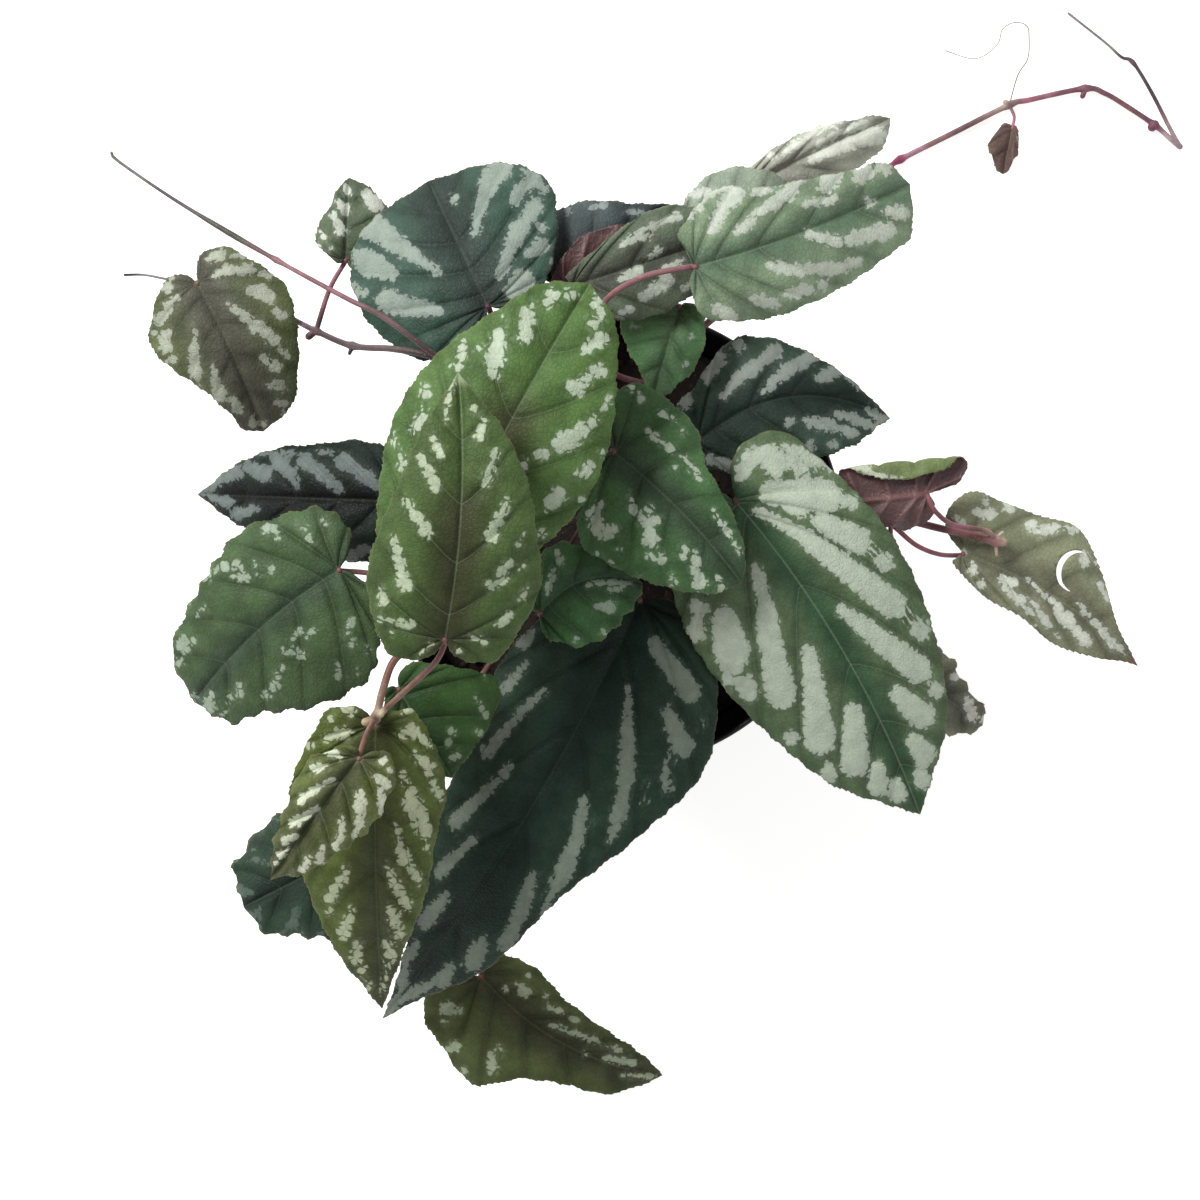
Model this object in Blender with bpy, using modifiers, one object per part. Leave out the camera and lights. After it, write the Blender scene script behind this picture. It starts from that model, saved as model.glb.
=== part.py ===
"""A trailing vine with silver-marked, heart-shaped leaves, growing in a round nursery pot.

The origin is the middle of the pot's underside, on the surface that it stands on, with +Z up. Sizes are
written in millimetres and turned into metres by MM. Places in plan are given as they appear from straight
above at the height of the pot's rim: sight() carries one along its line of sight to its own height.
"""

import math

import bmesh
import bpy
from mathutils import Vector, noise

MM = 0.001

# The pot
POT_HEIGHT = 120.0
RIM_RADIUS = 70.0
RIM_BAND = 9.0
NECK_RADIUS = 66.5
BASE_RADIUS = 50.0
POT_WALL = 1.4
FLOOR_RISE = 1.6
FLOOR_THICK = 1.6
FOOT_RADIUS = 20.0
FOOT_RING = 44.0
FOOT_SLOPE = 1.2
RIM_STEP = 0.8
EDGE = 0.6
DRAIN_RADIUS = 4.5
DRAIN_PLACE = 32.0
DRAIN_COUNT = 6
DRAIN_SIDES = 16
POT_STEPS = 40
POT_ROUGHNESS = 0.45

# The soil
SOIL_TOP = 106.0
SOIL_EDGE = 3.0
SOIL_BUMP = 2.2
BUMP_SCALE = 0.09
BUMP_LAYER = 7.0
SOIL_RINGS = 5
SOIL_SPOKES = 28
SOIL_ROUGHNESS = 0.95
GAP = 0.35
HOLE_DEPTH = 14.0
HOLE_GAP = 0.5
HOLE_SIDES = 12

# The line of sight that the plan was measured along
SIGHT_HEIGHT = 870.0
SIGHT_X = -4.0
SIGHT_Y = -19.0

# The blades: their thickness, the places along them where the widths are given, the shape of the lobe as
# shares of its reach and of its width, the share of the veins that fan out from the stalk, and the waves
BLADE = 0.8
STATIONS = (0.2, 0.4, 0.6, 0.8)
TIP_STATION = 0.93
LOBE = ((0.75, 0.16), (1.0, 0.48), (0.55, 0.86))
OUTLINE_STEP = 0.8
FAN_SHARE = 0.42
VEIN_LAG = 1.2
TOOTH = 0.7
FOLD_RADIUS = 1.6
KEEL = 1.2
WAVES = 2.3
WAVE_SHIFT = 0.013
LEAF_ROUGHNESS = 0.45

# How finely a blade is divided: veins on each side, pieces of margin between two, rows out to the margin
LARGE_GRID = (10, 4, 2)
SMALL_GRID = (8, 2, 2)
FOLDED_GRID = (10, 2, 6)
SMALL_LEAF = 45.0

# The stems
NODE_SWELL = 1.5
NODE_REACH = 2.6
SWELL_LIMIT = 0.8
STEM_STEP = 8.5
STEM_ROUGHNESS = 0.5
FOOT_RISES = (2.0, 6.0)

DARK = (0.022, 0.045, 0.033)
GREEN = (0.045, 0.105, 0.040)
BRIGHT = (0.110, 0.235, 0.045)
OLIVE = (0.085, 0.105, 0.035)
SILVER_GREEN = (0.170, 0.270, 0.170)
STEM_PINK = (0.235, 0.095, 0.100)
STEM_BROWN = (0.105, 0.065, 0.060)
POT_BLACK = (0.008, 0.009, 0.010)
SOIL_BROWN = (0.030, 0.020, 0.013)

# Each leaf: where its stalk joins it, its tip, how far its midrib bows to the left, how far the middle is
# arched up, and for each side the reach of the lobe behind the stalk and the half-widths at the stalk and at
# a fifth, two, three and four fifths of the way to the tip. edge is how far the left and right margins rise.
LEAVES = {
    "leaf_01": dict(base=(-126, 77, 127), tip=(-106, 32, 108), bow=1, arch=8, edge=(-3, -7), blunt=0.7,
                    left=(8, 17, 23, 22.5, 19.5, 15), right=(5, 13, 21, 19, 13, 8), colour=OLIVE),
    "leaf_02": dict(base=(-81, 84, 130), tip=(-80, 109, 125), arch=3, edge=(-3, -2), blunt=0.5,
                    left=(1, 4, 9, 9, 6, 4), right=(3, 9, 12, 13, 12.5, 9), colour=GREEN),
    "leaf_03": dict(base=(-38, 70, 152), tip=(-56, 108, 136), arch=4, edge=(-9, -6), blunt=0.66,
                    left=(9, 31, 34, 35, 34, 29), right=(3, 21, 27, 31, 33, 28), colour=DARK),
    "leaf_04": dict(base=(-18, 77, 138), tip=(17, 101, 136), arch=3, edge=(-4, 0), fold=(1.5, 165),
                    left=(2, 12, 17, 17, 13, 6), right=(2, 10, 14, 15, 12, 7), colour=DARK),
    "leaf_05": dict(base=(-12, 76, 154), tip=(38, 92, 150), arch=4, edge=(-3, -4),
                    left=(1, 5, 9, 13, 15, 12), right=(1, 8, 14, 16, 14, 9), colour=SILVER_GREEN),
    "leaf_06": dict(base=(22, 88, 144), tip=(56, 104, 138), arch=3, edge=(-4, -2), blunt=0.6,
                    left=(1, 9, 14, 16.5, 16, 12), right=(1, 7, 9, 9, 7, 4), colour=SILVER_GREEN),
    "leaf_07": dict(base=(25, 82, 176), tip=(89, 108, 150), bow=-2, arch=6, edge=(-3, -6), blunt=0.75,
                    left=(1, 14, 21, 17, 14.5, 11.5), right=(4, 19, 21, 21, 19.5, 16.5),
                    colour=SILVER_GREEN),
    "leaf_08": dict(base=(38, 104, 132), tip=(84, 127, 128), bow=1, arch=5, edge=(-2, -6), blunt=0.6,
                    left=(1, 4, 6, 7, 6.5, 4), right=(1, 5, 8, 10, 10, 9), colour=SILVER_GREEN),
    "leaf_09": dict(base=(20, 70, 144), tip=(12, 42, 140), arch=2, edge=(-2, -2), blunt=0.6,
                    left=(2, 8.5, 10, 10.5, 9.5, 6), right=(2, 16, 17, 15, 11, 5), colour=GREEN),
    "leaf_10": dict(base=(26, 29, 130), tip=(84, 36, 117), bow=10, arch=4, edge=(-2, -2),
                    left=(8, 15, 22, 19.5, 14, 8), right=(2, 8, 18, 21, 19, 13), colour=DARK),
    "leaf_11": dict(base=(37, 11, 146), tip=(93, -84, 104), bow=5, arch=9, edge=(-5, -4), blunt=0.38,
                    left=(14, 29.5, 31, 30.5, 26.5, 19.5), right=(9, 27, 35.5, 37, 32, 22), colour=GREEN),
    "leaf_12": dict(base=(95, 13, 126), tip=(64, 10, 124), arch=1, edge=(-4, 0), fold=(8.5, 168),
                    left=(2, 8, 10, 9, 7, 4), right=(13, 17, 17, 16, 14, 10), colour=OLIVE, upturned=True),
    "leaf_13": dict(base=(106, -5, 112), tip=(159, -39, 99), bow=4, arch=4, edge=(-4, -3), blunt=0.3,
                    left=(11, 21.5, 19.5, 21.5, 14.5, 5), right=(1, 5, 10, 10.5, 12, 7.5), colour=OLIVE),
    "leaf_14": dict(base=(92, -42, 98), tip=(112, -57, 88), arch=2, edge=(-2, -3), blunt=0.6,
                    left=(2, 11.5, 10.5, 8, 6, 5), right=(2, 7, 9, 10, 9.5, 7), colour=DARK),
    "leaf_15": dict(base=(0, 26, 163), tip=(39, -14, 156), bow=2, arch=5, edge=(-5, -5), blunt=0.55,
                    left=(13, 25, 22, 15.5, 12.5, 9), right=(2, 12, 27, 27, 23, 16), colour=GREEN),
    "leaf_16": dict(base=(-53, -7, 180), tip=(-7, 77, 184), bow=1, arch=9, edge=(-8, -6), blunt=0.5,
                    left=(8, 22, 29, 32, 28.5, 19.5), right=(10, 18, 26.5, 32, 30, 20), colour=BRIGHT),
    "leaf_17": dict(base=(-51, -31, 200), tip=(-47, 50, 208), bow=-3, arch=9, edge=(-7, -6), blunt=0.34,
                    left=(6.5, 21, 26.5, 24.5, 18.5, 11.5), right=(6.5, 21, 26, 23.5, 20, 12.5),
                    colour=BRIGHT),
    "leaf_18": dict(base=(-83, -10, 152), tip=(-127, -50, 120), bow=-3, arch=8, edge=(-6, -5), blunt=0.75,
                    left=(3, 18, 31, 32, 27, 17.5), right=(11, 23.5, 26.5, 25, 21.5, 18), colour=GREEN),
    "leaf_19": dict(base=(-65, 11, 138), tip=(-126, 13, 108), arch=8, edge=(-4, -4),
                    left=(5, 18, 19, 15.5, 12.5, 8.5), right=(5, 16, 18, 16.5, 15, 10), colour=DARK),
    "leaf_20": dict(base=(8, -19, 132), tip=(-70, -146, 66), bow=5, arch=26, edge=(-6, -4), blunt=0.3,
                    left=(5, 29, 40, 33, 22, 16), right=(5, 14, 27, 24, 19, 10), colour=DARK),
    "leaf_21": dict(base=(-22, -23, 150), tip=(9, -14, 147), bow=6, arch=2, edge=(-2, -3), blunt=0.5,
                    left=(3, 11, 14, 13, 9, 5), right=(1, 8, 16, 19, 17, 11), colour=GREEN),
    "leaf_22": dict(base=(-65, -46, 152), tip=(-49, -73, 142), arch=2, edge=(-3, -2),
                    left=(5, 13, 22, 27, 24, 15), right=(2, 5, 8, 9, 8, 6), colour=GREEN),
    "leaf_23": dict(base=(-72, -57, 168), tip=(-70, -143, 112), bow=-1, arch=10, edge=(-5, -5), blunt=0.35,
                    left=(4.5, 15.5, 21.5, 18.5, 15, 7.5), right=(6, 18.5, 25.5, 24, 20, 12.5), colour=OLIVE),
    "leaf_24": dict(base=(-77, -67, 184), tip=(-104, -104, 170), arch=4, edge=(-3, -3), blunt=0.3,
                    left=(6, 13.5, 15, 14.5, 11.5, 8), right=(2, 6, 12, 11, 8.5, 5.5), colour=OLIVE),
    "leaf_25": dict(base=(-78, -95, 118), tip=(-112, -112, 104), arch=3, edge=(-5, -4), blunt=0.8, wave=2,
                    left=(4, 14, 20, 22, 18, 13), right=(4, 12, 18, 20, 19, 15), colour=DARK),
    "leaf_26": dict(base=(-40, -133, 54), tip=(15, -163, 40), bow=-6, arch=5, edge=(-3, -5), blunt=0.45,
                    left=(3, 9, 14, 12, 10, 7), right=(12, 25, 26, 16, 11, 9.5), colour=OLIVE),
    "leaf_27": dict(base=(121, 124, 6), tip=(118, 110, 5), arch=2, edge=(1, 1), blunt=0.6,
                    left=(1, 1.5, 2.5, 3, 2.5, 2), right=(1, 3.5, 5, 6, 5, 3.5), colour=OLIVE),
}

# A torn slot in one leaf: a thin crescent round this place in plan
TORN_LEAF = "leaf_13"
TEAR_PLACE = (139.9, -10.7, 104.0)
TEAR_RADIUS = 6.4
TEAR_WIDTH = 1.6
TEAR_FROM = 75
TEAR_TO = 245
TEAR_STEPS = 7
TEAR_TIP = 0.1
TEAR_REACH = 12.0

# Each vine: the place of its root in the soil (true, not along the line of sight), the middles of its stem
# after that, its radius there and at its end, which of those middles are swollen nodes, and what grows from
# it: stalks, side shoots and thin tendrils, each with its own middles and radii, starting inside the stem.
VINES = {
    "vine_upper_left": dict(
        root=(-25, 22), nodes=(6,), colour=STEM_BROWN, radii=(1.6, 0.7),
        stem=[(-32, 34, 132), (-44, 48, 151), (-55, 56, 158), (-70, 67, 158), (-80, 72, 156),
              (-93, 79, 152), (-102, 84, 149), (-116.5, 92.3, 145), (-134, 103, 141), (-150, 114, 138),
              (-152, 116.5, 138)],
        shoots=[
            dict(path=[(-44, 48, 151), (-54, 54.5, 154), (-66, 57, 150), (-79, 58, 139), (-90, 62.5, 127),
                       (-97, 66, 119), (-110, 72, 115), (-121, 76, 119), (-126, 77, 124.8)],
                 radii=(1.4, 1.0), nodes=(3, 4)),
            dict(path=[(-90, 62.5, 127), (-86, 75, 129), (-81.5, 83, 127.8)], radii=(1.1, 0.8)),
            dict(path=[(-121, 76, 119), (-134, 78, 119), (-142, 79.5, 119), (-148, 79.5, 120)],
                 radii=(0.55, 0.45)),
            dict(path=[(-32, 34, 132), (-32, 52, 144), (-37.5, 69, 149.8)], radii=(1.2, 1.0)),
            dict(path=[(-25, 22, 112), (-42, 18, 130), (-56, 13, 135.5), (-64.5, 11, 135.8)],
                 radii=(1.2, 1.0)),
        ]),
    "vine_upper_right": dict(
        root=(8, 34), nodes=(10, 12, 15, 17), colour=STEM_PINK, radii=(1.6, 1.2),
        stem=[(12, 46, 119), (20, 58, 128), (31, 67, 127), (42, 79, 114), (56, 93, 82), (68, 103, 46),
              (78, 109, 16), (84, 112.5, 4.5), (87, 114.5, 2.2), (102, 122, 1.9), (120, 131, 2.2),
              (126, 132.5, 2), (143, 136, 2.3), (149, 134.5, 2), (155, 131, 2), (164, 125, 2.3),
              (168, 121.5, 2), (171.7, 118.4, 2.2)],
        shoots=[
            dict(path=[(171.7, 118.4, 2.2), (168.6, 124, 2), (163, 135, 2), (157.4, 144, 2),
                       (154, 145.5, 1.9), (149, 150, 1.8), (138, 158.7, 1.6)],
                 radii=(1.1, 0.5), nodes=(3,)),
            dict(path=[(12, 46, 119), (0, 50, 135), (-6, 62, 156), (-2, 72, 168), (7, 78, 173),
                       (15, 80.5, 174.5), (24.5, 82, 173.8)], radii=(1.3, 1.1)),
            dict(path=[(31, 67, 127), (26, 78, 137), (22.3, 87.5, 141.8)], radii=(1.1, 0.9)),
            dict(path=[(42, 79, 114), (40, 92, 124), (38.2, 103.5, 129.8)], radii=(1.1, 0.9)),
            dict(path=[(20, 58, 128), (20.5, 66, 137), (20, 69.7, 141.8)], radii=(1.1, 0.9)),
            dict(path=[(120, 131, 2.2), (121.5, 127.5, 4), (121, 124.5, 4.2)], radii=(0.8, 0.7)),
            dict(path=[(120, 131, 2.2), (122.6, 140, 2), (125.6, 145, 1.5), (126, 151.4, 1.2),
                       (125.3, 155, 1.2), (121.7, 156, 1.2), (118, 154, 1.2), (116.2, 149, 1.2),
                       (109.6, 145, 1.2), (100.5, 147.5, 1.2)], radii=(0.5, 0.4)),
        ]),
    "vine_right": dict(
        root=(32, 2), nodes=(5,), colour=STEM_BROWN, radii=(1.6, 1.5),
        stem=[(40, 3, 119), (55, 4, 123), (70, 5.5, 122.5), (84, 6, 120.5), (100, 2.5, 118.5),
              (115.6, -1, 117.5), (118, -1.6, 117.5)],
        shoots=[
            dict(path=[(115.6, -1, 117.5), (113, 2, 121), (103, 3.8, 125.5), (97.5, 8, 128.8),
                       (95.3, 12.6, 129.4)], radii=(1.1, 0.9)),
            dict(path=[(82, 6, 120.8), (86, 2.5, 120), (92, -2.5, 117), (99, -5.2, 112.5),
                       (105.5, -5.4, 109.6)], radii=(1.1, 0.9)),
            dict(path=[(84, 6, 120.5), (84.5, -8, 114), (88, -28, 102), (91.7, -41.3, 95.8)],
                 radii=(1.0, 0.8)),
            dict(path=[(31.8, 2, 111), (35, 7, 132), (37, 10.6, 143.8)], radii=(1.4, 1.2)),
            dict(path=[(31.8, 2, 108.5), (28, 14, 118), (26, 28.3, 127.8)], radii=(1.2, 1.0)),
        ]),
    "vine_lower_left": dict(
        root=(-20, -16), nodes=(5,), colour=STEM_PINK, radii=(1.6, 1.4),
        stem=[(-30, -20, 132), (-46, -26, 158), (-60, -33, 169), (-66.5, -37.5, 171), (-70, -47, 172),
              (-72, -54.7, 172), (-75, -56, 172.5)],
        shoots=[
            dict(path=[(-72, -54.7, 172), (-63.5, -47, 182), (-54, -38, 194), (-51, -32, 197.4)],
                 radii=(1.2, 1.0)),
            dict(path=[(-72, -54.7, 172), (-75, -60, 178), (-76.9, -66.3, 181.8)], radii=(1.0, 0.9)),
            dict(path=[(-40, -42, 127), (-55, -46, 140), (-64.5, -46, 149.6)], radii=(1.0, 0.9)),
            dict(path=[(-46, -26, 158), (-60, -14, 150), (-73, -11, 147), (-82.4, -10.2, 149.4)],
                 radii=(1.2, 1.0)),
            dict(path=[(-20, -15.8, 112.5), (-40, -42, 127), (-50, -60, 127), (-64, -82, 121),
                       (-77.3, -94.3, 115.8)], radii=(1.1, 0.9)),
        ]),
    "crown": dict(
        root=(-6, 6), nodes=(1,), colour=STEM_BROWN, radii=(1.8, 1.5),
        stem=[(-6, 6, 125), (-8, 6, 138), (-8, 6, 150)],
        shoots=[
            dict(path=[(-8, 6, 149), (-25, 2, 166), (-45, -5, 176), (-52.3, -7, 177.8)], radii=(1.3, 1.1)),
            dict(path=[(-8, 6, 140), (-4, 16, 154), (-0.3, 25.3, 160.8)], radii=(1.3, 1.1)),
            dict(path=[(-8, 6, 138), (-16, -8, 144), (-21.8, -22.3, 147.8)], radii=(1.1, 0.9)),
            dict(path=[(-6, 6, 118), (2, -6, 125), (7.5, -18.3, 129.6)], radii=(1.4, 1.2)),
            dict(path=[(-7, 6, 128), (-13, 40, 142), (-14, 62, 149), (-12.4, 75.3, 151.8)], radii=(1.2, 1.0)),
            dict(path=[(-6, 6, 122), (-19, 45, 131), (-18.3, 76.3, 135.8)], radii=(1.2, 1.0)),
        ]),
    "vine_front": dict(
        root=(-14, -44), nodes=(3,), colour=STEM_BROWN, radii=(1.5, 1.1),
        stem=[(-18, -56, 119), (-22, -66, 123), (-27, -78, 115), (-33, -99, 74), (-37, -119, 47),
              (-40, -132, 50.9)],
        shoots=[]),
}


def sight(x, y, z):
    """A place in plan and its height, in millimetres, as a point in metres."""
    share = (SIGHT_HEIGHT - z) / (SIGHT_HEIGHT - POT_HEIGHT)
    return Vector((SIGHT_X + (x - SIGHT_X) * share, SIGHT_Y + (y - SIGHT_Y) * share, z)) * MM


def spline(points, step):
    """Points at most step apart on a smooth curve through all of these, each with its place among them."""
    ends = [2 * points[0] - points[1]] + list(points) + [2 * points[-1] - points[-2]]
    found = []
    for i in range(1, len(ends) - 2):
        a, b, c, d = ends[i - 1:i + 3]
        pieces = max(1, math.ceil((c - b).length / step))
        for k in range(pieces):
            t = k / pieces
            bend = (2 * a - 5 * b + 4 * c - d) * t ** 2 + (3 * b - a - 3 * c + d) * t ** 3
            found.append((i - 1 + t, 0.5 * (2 * b + (c - a) * t + bend)))
    found.append((len(points) - 1.0, points[-1]))
    return found


def evenly(points, count):
    """count + 1 points at even distances along the smooth curve through these."""
    fine = [point for _, point in spline(points, OUTLINE_STEP)]
    reach = [0.0]
    for a, b in zip(fine, fine[1:]):
        reach.append(reach[-1] + (b - a).length)
    found = []
    for k in range(count + 1):
        goal = reach[-1] * k / count
        j = max(i for i in range(len(fine) - 1) if reach[i] <= goal)
        span = reach[j + 1] - reach[j]
        found.append(fine[j].lerp(fine[j + 1], min(1.0, (goal - reach[j]) / span)))
    return found


def outline(length, widths, blunt, count):
    """One margin of a heart-shaped blade, from its stalk round the lobe to its tip, as (along, out)."""
    back, out, *sides = widths
    points = [(0, 0)] + [(-reach * back, width * out) for reach, width in LOBE]
    points += [(share * length, width) for share, width in zip(STATIONS, sides)]
    points += [(TIP_STATION * length, blunt * sides[-1]), (length, 0)]
    return evenly([Vector(point) for point in points], count)


class Blade:
    """The middle surface of one leaf: along runs from stalk to tip, out from midrib to margin."""

    def __init__(self, base, tip, left, right, colour, bow=0, arch=0, edge=(0, 0), blunt=0.36, wave=0.8,
                 fold=None, upturned=False):
        self.base = Vector(base)
        self.rise = tip[2] - base[2]
        heading = Vector((tip[0] - base[0], tip[1] - base[1]))
        self.length = heading.length
        self.heading = heading.normalized()
        self.widths = {1: left, -1: right}
        self.edge = {1: edge[0], -1: edge[1]}
        self.bow, self.arch, self.blunt, self.wave, self.fold = bow, arch, blunt, wave, fold
        self.upturned = upturned

    def height(self, share, out, side):
        """The blade's height at a share of the way to its tip: arched along it, keeled and waved across."""
        most = max(self.widths[side][1:])
        q = out / most
        ripple = self.wave * math.sin(2 * math.pi * (WAVES * share + WAVE_SHIFT * self.base.x)) * q * q
        swell = KEEL * 4 * min(q, 1) * (1 - min(q, 1))
        return (self.base.z + self.rise * share + self.arch * 4 * share * (1 - share)
                + self.edge[side] * q * q + ripple + swell)

    def turned(self, out, side):
        """Where a place on the folded side ends up: how far out, and how far above the blade."""
        if self.fold is None or side > 0:
            return out, 0.0
        crease, turn = self.fold[0], math.radians(self.fold[1])
        beyond = out - crease
        if beyond <= 0:
            return out, 0.0
        angle = min(turn, beyond / FOLD_RADIUS)
        rest = max(0.0, beyond - turn * FOLD_RADIUS)
        return (crease + FOLD_RADIUS * math.sin(angle) + rest * math.cos(turn),
                FOLD_RADIUS * (1 - math.cos(angle)) + rest * math.sin(turn))

    def point(self, along, out, side):
        """A place on the blade in metres, on its left for side 1 and on its right for -1."""
        share = along / self.length
        inside = min(max(share, 0), 1)
        out, lift = self.turned(out, side)
        left = side * out + self.bow * 4 * inside * (1 - inside)
        x = self.base.x + self.heading.x * along - self.heading.y * left
        y = self.base.y + self.heading.y * along + self.heading.x * left
        return sight(x, y, self.height(share, abs(out), side) + lift)

    def columns(self, side, count, parts):
        """For each vein, its start on the midrib; and the margin, with parts pieces between two veins."""
        margin = outline(self.length, self.widths[side], self.blunt, count * parts)
        starts = []
        for i in range(count + 1):
            past = max(0.0, (i / count - FAN_SHARE) / (1 - FAN_SHARE))
            starts.append(self.length * past ** VEIN_LAG)
        return starts, margin


def toothed(margin, tooth):
    """The margin with every other point pushed out as the tip of a tooth."""
    found = [margin[0].copy()]
    for before, here, after, odd in zip(margin, margin[1:], margin[2:], range(1, len(margin))):
        run = (after - before).normalized()
        found.append(here + Vector((-run.y, run.x)) * tooth * (odd % 2))
    return found + [margin[-1].copy()]


def leaf_mesh(name, leaf):
    """The open middle surface of a leaf as triangles."""
    if leaf.fold:
        count, parts, rows = FOLDED_GRID
    else:
        count, parts, rows = SMALL_GRID if leaf.length < SMALL_LEAF else LARGE_GRID
    mesh = bpy.data.meshes.new(name)
    form = bmesh.new()
    for side in (1, -1):
        starts, margin = leaf.columns(side, count, parts)
        margin = toothed(margin, TOOTH)
        rim = [form.verts.new(leaf.point(p.x, max(p.y, 0), side)) for p in margin]
        grid = []
        for i, start in enumerate(starts):
            end = margin[i * parts]
            places = [(start + (end.x - start) * j / rows, max(end.y, 0) * j / rows) for j in range(rows)]
            grid.append([form.verts.new(leaf.point(*place, side)) for place in places] + [rim[i * parts]])
        turn = side if not leaf.upturned else -side
        for i in range(count):
            for j in range(rows - 1):
                a, b, c, d = grid[i][j], grid[i + 1][j], grid[i + 1][j + 1], grid[i][j + 1]
                add_face(form, (a, b, c), turn)
                add_face(form, (a, c, d), turn)
            add_face(form, (grid[i][-2], grid[i + 1][-2], rim[(i + 1) * parts - parts // 2]), turn)
            for k in range(parts):
                pivot = grid[i][-2] if k < parts // 2 else grid[i + 1][-2]
                add_face(form, (pivot, rim[i * parts + k + 1], rim[i * parts + k]), turn)
    bmesh.ops.remove_doubles(form, verts=form.verts, dist=0.01 * MM)
    form.to_mesh(mesh)
    form.free()
    return mesh


def add_face(form, corners, turn):
    """A triangle, facing up for turn 1 and down for -1."""
    form.faces.new(corners if turn < 0 else corners[::-1])


def finish_material(name, colour, roughness):
    material = bpy.data.materials.new(name)
    material.use_nodes = True
    shader = material.node_tree.nodes["Principled BSDF"]
    shader.inputs["Base Color"].default_value = (*colour, 1)
    shader.inputs["Roughness"].default_value = roughness
    shader.inputs["Metallic"].default_value = 0
    return material


def add_object(name, mesh, collection, colour, roughness):
    mesh.materials.clear()
    mesh.materials.append(finish_material(name + "_finish", colour, roughness))
    obj = bpy.data.objects.new(name, mesh)
    collection.objects.link(obj)
    return obj


def add_leaf(name, measures, collection):
    leaf = Blade(**measures)
    mesh = leaf_mesh(name, leaf)
    mesh.shade_smooth()
    obj = add_object(name, mesh, collection, measures["colour"], LEAF_ROUGHNESS)
    solid = obj.modifiers.new("Thickness", "SOLIDIFY")
    solid.thickness = BLADE * MM
    solid.offset = 0
    return obj


def tear_cutter(cutters):
    """A thin crescent that stands upright through the torn leaf."""
    mesh = bpy.data.meshes.new("tear")
    form = bmesh.new()
    middle = sight(*TEAR_PLACE)
    outer, inner = [], []
    for k in range(TEAR_STEPS + 1):
        share = k / TEAR_STEPS
        angle = math.radians(TEAR_FROM + (TEAR_TO - TEAR_FROM) * share)
        half = TEAR_TIP + 0.5 * TEAR_WIDTH * math.sin(math.pi * share)
        for row, radius in ((outer, TEAR_RADIUS + half), (inner, TEAR_RADIUS - half)):
            offset = Vector((radius * math.cos(angle), radius * math.sin(angle), -TEAR_REACH))
            row.append(form.verts.new(middle + offset * MM))
    flat = form.faces.new(outer + inner[::-1])
    raised = bmesh.ops.extrude_face_region(form, geom=[flat])["geom"]
    lifted = [item for item in raised if isinstance(item, bmesh.types.BMVert)]
    bmesh.ops.translate(form, verts=lifted, vec=Vector((0, 0, 2 * TEAR_REACH)) * MM)
    bmesh.ops.recalc_face_normals(form, faces=form.faces)
    form.to_mesh(mesh)
    form.free()
    obj = bpy.data.objects.new("tear", mesh)
    obj.hide_render = True
    obj.display_type = "WIRE"
    cutters.objects.link(obj)


def tube(name, points, radii, swollen, collection):
    """A stem through these points as a closed mesh: it tapers, and swells at its nodes."""
    first, last = radii
    whole = len(points) - 1
    curve = bpy.data.curves.new(name, "CURVE")
    curve.dimensions = "3D"
    curve.bevel_depth = MM
    curve.bevel_resolution = 1
    curve.use_fill_caps = True
    path = spline(points, STEM_STEP * MM)
    for node in swollen:
        path += beside(points, node)
    path.sort(key=lambda item: item[0])
    line = curve.splines.new("POLY")
    line.points.add(len(path) - 1)
    for spot, (place, point) in zip(line.points, path):
        spot.co = (*point, 1)
        spot.radius = first + (last - first) * place / whole
        if any(abs(place - node) < 0.001 for node in swollen):
            spot.radius *= NODE_SWELL
    carrier = bpy.data.objects.new(name, curve)
    collection.objects.link(carrier)
    bpy.context.view_layer.update()
    mesh = bpy.data.meshes.new_from_object(carrier.evaluated_get(bpy.context.evaluated_depsgraph_get()))
    weld(mesh)
    obj = bpy.data.objects.new(name + "_tube", mesh)
    obj.matrix_world = carrier.matrix_world
    collection.objects.link(obj)
    bpy.data.objects.remove(carrier)
    return obj


def beside(points, node):
    """Two more places on the curve, one on each side of a node, where its swelling ends."""
    found = []
    for other in (node - 1, node + 1):
        if not 0 <= other < len(points):
            continue
        run = (points[other] - points[node]).length
        reach = NODE_REACH * MM / run
        if reach < SWELL_LIMIT:
            found.append((node + (other - node) * reach, points[node].lerp(points[other], reach)))
    return found


def weld(mesh):
    form = bmesh.new()
    form.from_mesh(mesh)
    bmesh.ops.remove_doubles(form, verts=form.verts, dist=0.001 * MM)
    form.to_mesh(mesh)
    form.free()


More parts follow.
